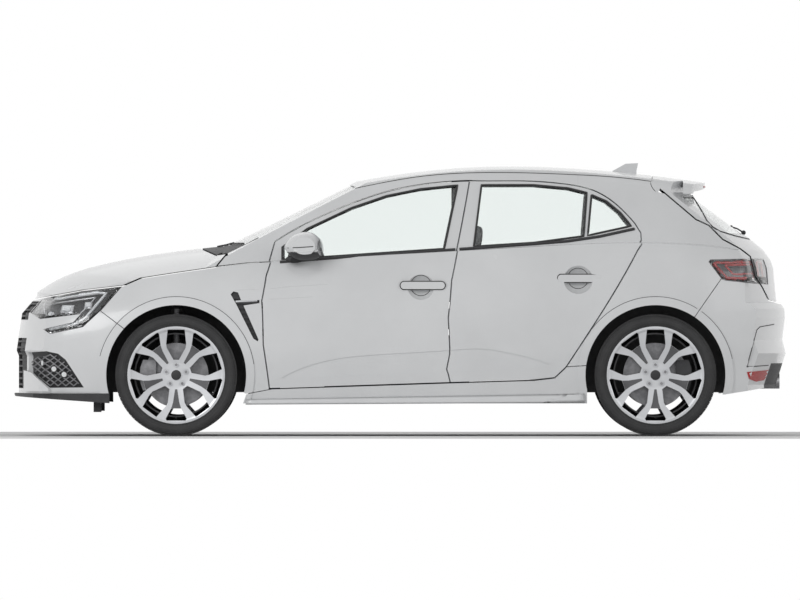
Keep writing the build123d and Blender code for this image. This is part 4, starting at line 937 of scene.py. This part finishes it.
def cushion(name, length, width, height, lean, crown, node=None):
    """A crowned foam pad between two ends in each direction, leaned back by an angle in degrees."""
    form = bmesh.new()
    bmesh.ops.create_cube(form, size=2)
    bmesh.ops.subdivide_edges(form, edges=form.edges, cuts=7, use_grid_fill=True)
    ends = (length, width, height)
    middle = Vector([(low + high) / 2 for low, high in ends])
    half = Vector([(high - low) / 2 for low, high in ends])
    for vertex in form.verts:
        a, b, c = vertex.co
        # each side is fullest at its middle and pulls in towards the corners
        vertex.co = Vector((
            half.x * a * (1 - crown * (b * b + c * c) / 2),
            half.y * b * (1 - crown * 0.5 * (a * a + c * c) / 2),
            half.z * c * (1 - crown * (a * a + b * b) / 2),
        ))
    bmesh.ops.smooth_vert(
        form, verts=form.verts, factor=0.5, use_axis_x=True, use_axis_y=True, use_axis_z=True
    )
    turn = Matrix.Rotation(radians(lean), 4, "Y")
    bmesh.ops.transform(form, verts=form.verts, matrix=Matrix.Translation(middle) @ turn)
    thing = from_form(name, form, cloth, "body_shell")
    rounder = thing.modifiers.new("rounder", "SUBSURF")
    rounder.levels = 1
    rounder.render_levels = 1
    if node:
        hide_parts(node)
    return thing


SEAT_INNER, SEAT_OUTER = 0.13, 0.60
HEADREST_HALF = 0.115
BOLSTER_INSET, BOLSTER_HALF = 0.035, 0.04
PLINTH_MIDDLE, PLINTH_SIZE, PLINTH_ROUND = (0.14, 0.275), (0.42, 0.36, 0.115), 0.012
POST_PLACE, POST_SPREAD, POST_SIZE = (0.430, 1.02), 0.05, (0.006, 0.006, 0.09)
POST_LEAN = Matrix.Rotation(radians(-20), 4, "Y")


def front_seat(hand, side):
    """Base, back, headrest, side bolsters, plinth and headrest posts."""
    seat = sorted((side * SEAT_INNER, side * SEAT_OUTER))
    cushion(f"front_seat_base_{hand}", (-0.15, 0.36), seat, (0.335, 0.475), 4, 0.22, "front_seats")
    cushion(f"front_seat_back_{hand}", (0.345, 0.475), seat, (0.455, 1.01), 9, 0.22)
    middle = sum(seat) / 2
    rest = (middle - HEADREST_HALF, middle + HEADREST_HALF)
    cushion(f"front_headrest_{hand}", (0.375, 0.455), rest, (1.03, 1.16), 6, 0.3)
    for edge in (seat[0] + BOLSTER_INSET, seat[1] - BOLSTER_INSET):
        place = "in" if abs(edge) < abs(middle) else "out"
        wing = (edge - BOLSTER_HALF, edge + BOLSTER_HALF)
        cushion(f"front_bolster_{hand}_{place}", (0.325, 0.44), wing, (0.52, 0.90), 9, 0.3)
    form = bmesh.new()
    spot = Matrix.Translation((PLINTH_MIDDLE[0], middle, PLINTH_MIDDLE[1]))
    bmesh.ops.create_cube(form, size=1, matrix=spot @ Matrix.Diagonal((*PLINTH_SIZE, 1)))
    round_edges(form, PLINTH_ROUND, 2)
    from_form(f"front_seat_plinth_{hand}", form, cabin, "body_shell")
    form = bmesh.new()
    for y in (middle - POST_SPREAD, middle + POST_SPREAD):
        peg(form, POST_SIZE, 12, Matrix.Translation((POST_PLACE[0], y, POST_PLACE[1])) @ POST_LEAN)
    from_form(f"front_headrest_posts_{hand}", form, steel, "body_shell")


for hand, side in SIDES:
    front_seat(hand, side)

BENCH = (-0.62, 0.62)
REAR_HEADRESTS, REAR_HEADREST_HALF = (-0.40, 0.0, 0.40), 0.11
cushion("rear_seat_base", (0.56, 0.93), BENCH, (0.33, 0.475), 3, 0.16, "rear_seat")
cushion("rear_seat_back", (0.935, 1.065), BENCH, (0.46, 0.965), 15, 0.16)
for index, y in enumerate(REAR_HEADRESTS):
    rest = (y - REAR_HEADREST_HALF, y + REAR_HEADREST_HALF)
    cushion(f"rear_headrest_{index}", (1.070, 1.135), rest, (0.94, 1.035), 8, 0.3)


# Dashboard and console


def rounded_block(name, middle, size, finish, edge):
    """A block with rounded edges in the cabin."""
    form = bmesh.new()
    bmesh.ops.create_cube(form, size=1, matrix=Matrix.Diagonal((*size, 1)))
    round_edges(form, edge, 3)
    bmesh.ops.transform(form, verts=form.verts, matrix=Matrix.Translation(middle))
    return from_form(name, form, finish, "body_shell")


VENT_PLACES = (-0.61, -0.13, 0.17, 0.61)
VENT_MIDDLE, VENT_SIZE = (-0.430, 0.915), (0.016, 0.085, 0.052)
FIN_X, FIN_LOW, FIN_PITCH, FIN_SIZE = -0.4215, 0.900, 0.015, (0.006, 0.072, 0.004)

rounded_block("instrument_hood", (-0.535, -0.37, 0.985), (0.17, 0.34, 0.055), cabin, 0.022)
rounded_block("centre_screen", (-0.428, 0.02, 0.845), (0.014, 0.17, 0.22), lamp_black, 0.005)
for index, y in enumerate(VENT_PLACES):
    place = (VENT_MIDDLE[0], y, VENT_MIDDLE[1])
    rounded_block(f"air_vent_{index}", place, VENT_SIZE, moulding, 0.006)
    for row in range(3):
        place = (FIN_X, y, FIN_LOW + FIN_PITCH * row)
        rounded_block(f"air_vent_{index}_fin_{row}", place, FIN_SIZE, steel, 0.001)
rounded_block("centre_console", (-0.040, 0.0, 0.345), (0.76, 0.17, 0.255), cabin, 0.02)
rounded_block("gear_gaiter", (-0.150, 0.0, 0.480), (0.11, 0.09, 0.045), cloth, 0.018)
rounded_block("gear_stick", (-0.150, 0.0, 0.535), (0.014, 0.014, 0.11), steel, 0.004)
rounded_block("gear_knob", (-0.150, 0.0, 0.600), (0.044, 0.044, 0.05), moulding, 0.016)


# Mirror glass and dark mirror feet

COVER_THICK = 0.0016
MIRROR_INNER, FOOT_TOP, SQUARE_BACK = 0.88, 1.012, 0.8


def is_mirror_glass(middle, normal):
    """Faces of a mirror that look back."""
    return normal.x > SQUARE_BACK and abs(middle.y) > MIRROR_INNER


def is_mirror_foot(middle, normal):
    """Faces low on a mirror, apart from its glass."""
    return middle.z < FOOT_TOP and normal.x < SQUARE_BACK


def skin_cover(name, node, keep, finish, body):
    """A thin cover over the faces of a CAD node that pass a test."""
    form = node_form(node, keep)
    bmesh.ops.solidify(form, geom=form.faces, thickness=-COVER_THICK)
    return from_form(name, form, finish, body)


for hand, side in SIDES:
    mirror, door = f"mirror_{hand}", f"front_door_{hand}"
    skin_cover(f"mirror_glass_{hand}", mirror, is_mirror_glass, steel, door)
    skin_cover(f"mirror_foot_{hand}", mirror, is_mirror_foot, moulding, door)


# Upper corners of the tailgate, which turn inside the round room about its pins

GATE_AXIS = Vector((1.460, 0, 1.410))
ROOM_TREE = search_tree("quarter_panels", "roof_rails", "roof_panel")
GATE_SKIN = search_tree("tailgate")
ROOM_EDGE, CORNER_REACH, CORNER_LEAST = 0.087, 0.0795, 0.03
CORNER_START, CORNER_SWEEP = 178, 62
CORNER_STEPS = (25, 4)
SEARCH_STEP, CORNER_LAP, CORNER_THICK = 0.002, 0.003, 0.004
CORNER_INNER = 0.48


def corner_ray(step, side):
    """A ray from the gate's axis, the gate's edge on it, and the skin beside the room and at that edge."""
    turn = radians(CORNER_START + CORNER_SWEEP * step / CORNER_STEPS[0])
    ray = Vector((cos(turn), 0, sin(turn)))
    rim = GATE_AXIS + ray * ROOM_EDGE
    outer = on_side(ROOM_TREE, rim.x, rim.z, side)
    reach, inner = CORNER_REACH, None
    while inner is None and reach > CORNER_LEAST:
        reach -= SEARCH_STEP
        spot = GATE_AXIS + ray * reach
        inner = on_side(GATE_SKIN, spot.x, spot.z, side)
    if outer is None or inner is None or min(abs(outer.y), abs(inner.y)) < CORNER_INNER:
        return None
    return ray, reach, outer.y, inner.y


def gate_corner(hand, side):
    """A painted cover from the gate's edge to the edge of the room."""
    rays = [corner_ray(step, side) for step in range(CORNER_STEPS[0] + 1)]

    def place(along, up):
        found = rays[round(along * CORNER_STEPS[0])]
        if found is None:
            return None
        ray, reach, outer_y, inner_y = found
        radius = CORNER_REACH + (reach - CORNER_LAP - CORNER_REACH) * up
        blend = min((ROOM_EDGE - radius) / (ROOM_EDGE - reach), 1)
        spot = GATE_AXIS + ray * radius
        return spot.x, outer_y + (inner_y - outer_y) * blend, spot.z

    form = sheet(CORNER_STEPS, place)
    thicken(form, (0, -side * CORNER_THICK, 0))
    from_form(f"gate_corner_{hand}", form, paint, "tailgate", smooth=False)


for hand, side in SIDES:
    gate_corner(hand, side)


# High brake light along the spoiler's edge

SPOILER_TREE = search_tree("spoiler")
BRAKE_LIGHT_START, BRAKE_LIGHT_STEP, BRAKE_LIGHT_POINTS = -0.18, 0.03, 13
BRAKE_LIGHT_HEIGHT, BRAKE_LIGHT_RADIUS = 1.375, 0.005
BEHIND_CAR = 2.4
strip = []
for step in range(BRAKE_LIGHT_POINTS):
    behind = Vector((BEHIND_CAR, BRAKE_LIGHT_START + BRAKE_LIGHT_STEP * step, BRAKE_LIGHT_HEIGHT))
    hit = SPOILER_TREE.ray_cast(behind, Vector((-1, 0, 0)))[0]
    if hit is not None:
        strip.append(hit)
bead("high_brake_light", [strip], BRAKE_LIGHT_RADIUS, lamp_red, "tailgate")


# Studio

FLOOR_HALF = (14, 3.2)
FLOOR_TONE, FLOOR_ROUGHNESS = 0.93, 0.9
SKY_STRENGTH = 0.4
# Lamps: name, place, aim, size, power
STUDIO_LAMPS = (
    ("key_lamp", (-4.5, -7.0, 3.4), (0, 0, 0.6), 3.5, 170),
    ("fill_lamp", (4.5, -5, 2.6), (0, 0, 0.7), 4.0, 35),
    ("back_lamp", (0, 6, 5), (0, 0, 0.8), 5.0, 20),
)
CAMERA_PLACE = (-0.001, -123.1, 0.749)
CAMERA_LENS, CAMERA_SENSOR, CAMERA_REACH = 1000, 36, 400


def studio_floor():
    """A pale floor under the car."""
    form = bmesh.new()
    bmesh.ops.create_grid(
        form, x_segments=2, y_segments=2, size=1, matrix=Matrix.Diagonal((*FLOOR_HALF, 1, 1))
    )
    mesh = bpy.data.meshes.new("studio_floor")
    form.to_mesh(mesh)
    form.free()
    floor = bpy.data.objects.new("studio_floor", mesh)
    bpy.context.scene.collection.objects.link(floor)
    material, tree, shader = new_finish("pale_floor")
    shader.inputs["Base Color"].default_value = (FLOOR_TONE, FLOOR_TONE, FLOOR_TONE, 1)
    shader.inputs["Roughness"].default_value = FLOOR_ROUGHNESS
    mesh.materials.append(material)


def backdrop():
    """White where the camera, a reflection or a view through glass meets it, and softer as a light."""
    world = bpy.data.worlds.new("studio_light")
    world.use_nodes = True
    tree = world.node_tree
    tree.nodes.clear()
    out = tree.nodes.new("ShaderNodeOutputWorld")
    mix = tree.nodes.new("ShaderNodeMixShader")
    for socket, strength in ((1, SKY_STRENGTH), (2, 1.0)):
        sky = tree.nodes.new("ShaderNodeBackground")
        sky.inputs["Color"].default_value = (1, 1, 1, 1)
        sky.inputs["Strength"].default_value = strength
        tree.links.new(sky.outputs[0], mix.inputs[socket])
    path = tree.nodes.new("ShaderNodeLightPath")
    seen = path.outputs["Is Camera Ray"]
    for ray in ("Is Transmission Ray", "Is Glossy Ray"):
        either = tree.nodes.new("ShaderNodeMath")
        either.operation = "MAXIMUM"
        tree.links.new(seen, either.inputs[0])
        tree.links.new(path.outputs[ray], either.inputs[1])
        seen = either.outputs[0]
    tree.links.new(seen, mix.inputs["Fac"])
    tree.links.new(mix.outputs[0], out.inputs["Surface"])
    bpy.context.scene.world = world


def studio_lamp(name, place, aim, size, power):
    """A soft square lamp turned to its aim."""
    data = bpy.data.lights.new(name, "AREA")
    data.size = size
    data.energy = power
    lamp = bpy.data.objects.new(name, data)
    lamp.location = place
    lamp.rotation_euler = (Vector(aim) - Vector(place)).to_track_quat("-Z", "Y").to_euler()
    bpy.context.scene.collection.objects.link(lamp)


def side_camera():
    """A camera far off to the left, square to the car."""
    data = bpy.data.cameras.new("side_camera")
    data.lens = CAMERA_LENS
    data.sensor_width = CAMERA_SENSOR
    data.clip_end = CAMERA_REACH
    camera = bpy.data.objects.new("side_camera", data)
    camera.location = CAMERA_PLACE
    camera.rotation_euler = (pi / 2, 0, 0)
    bpy.context.scene.collection.objects.link(camera)
    bpy.context.scene.camera = camera
    bpy.context.scene.view_settings.view_transform = "Standard"


studio_floor()
backdrop()
for lamp in STUDIO_LAMPS:
    studio_lamp(*lamp)
side_camera()
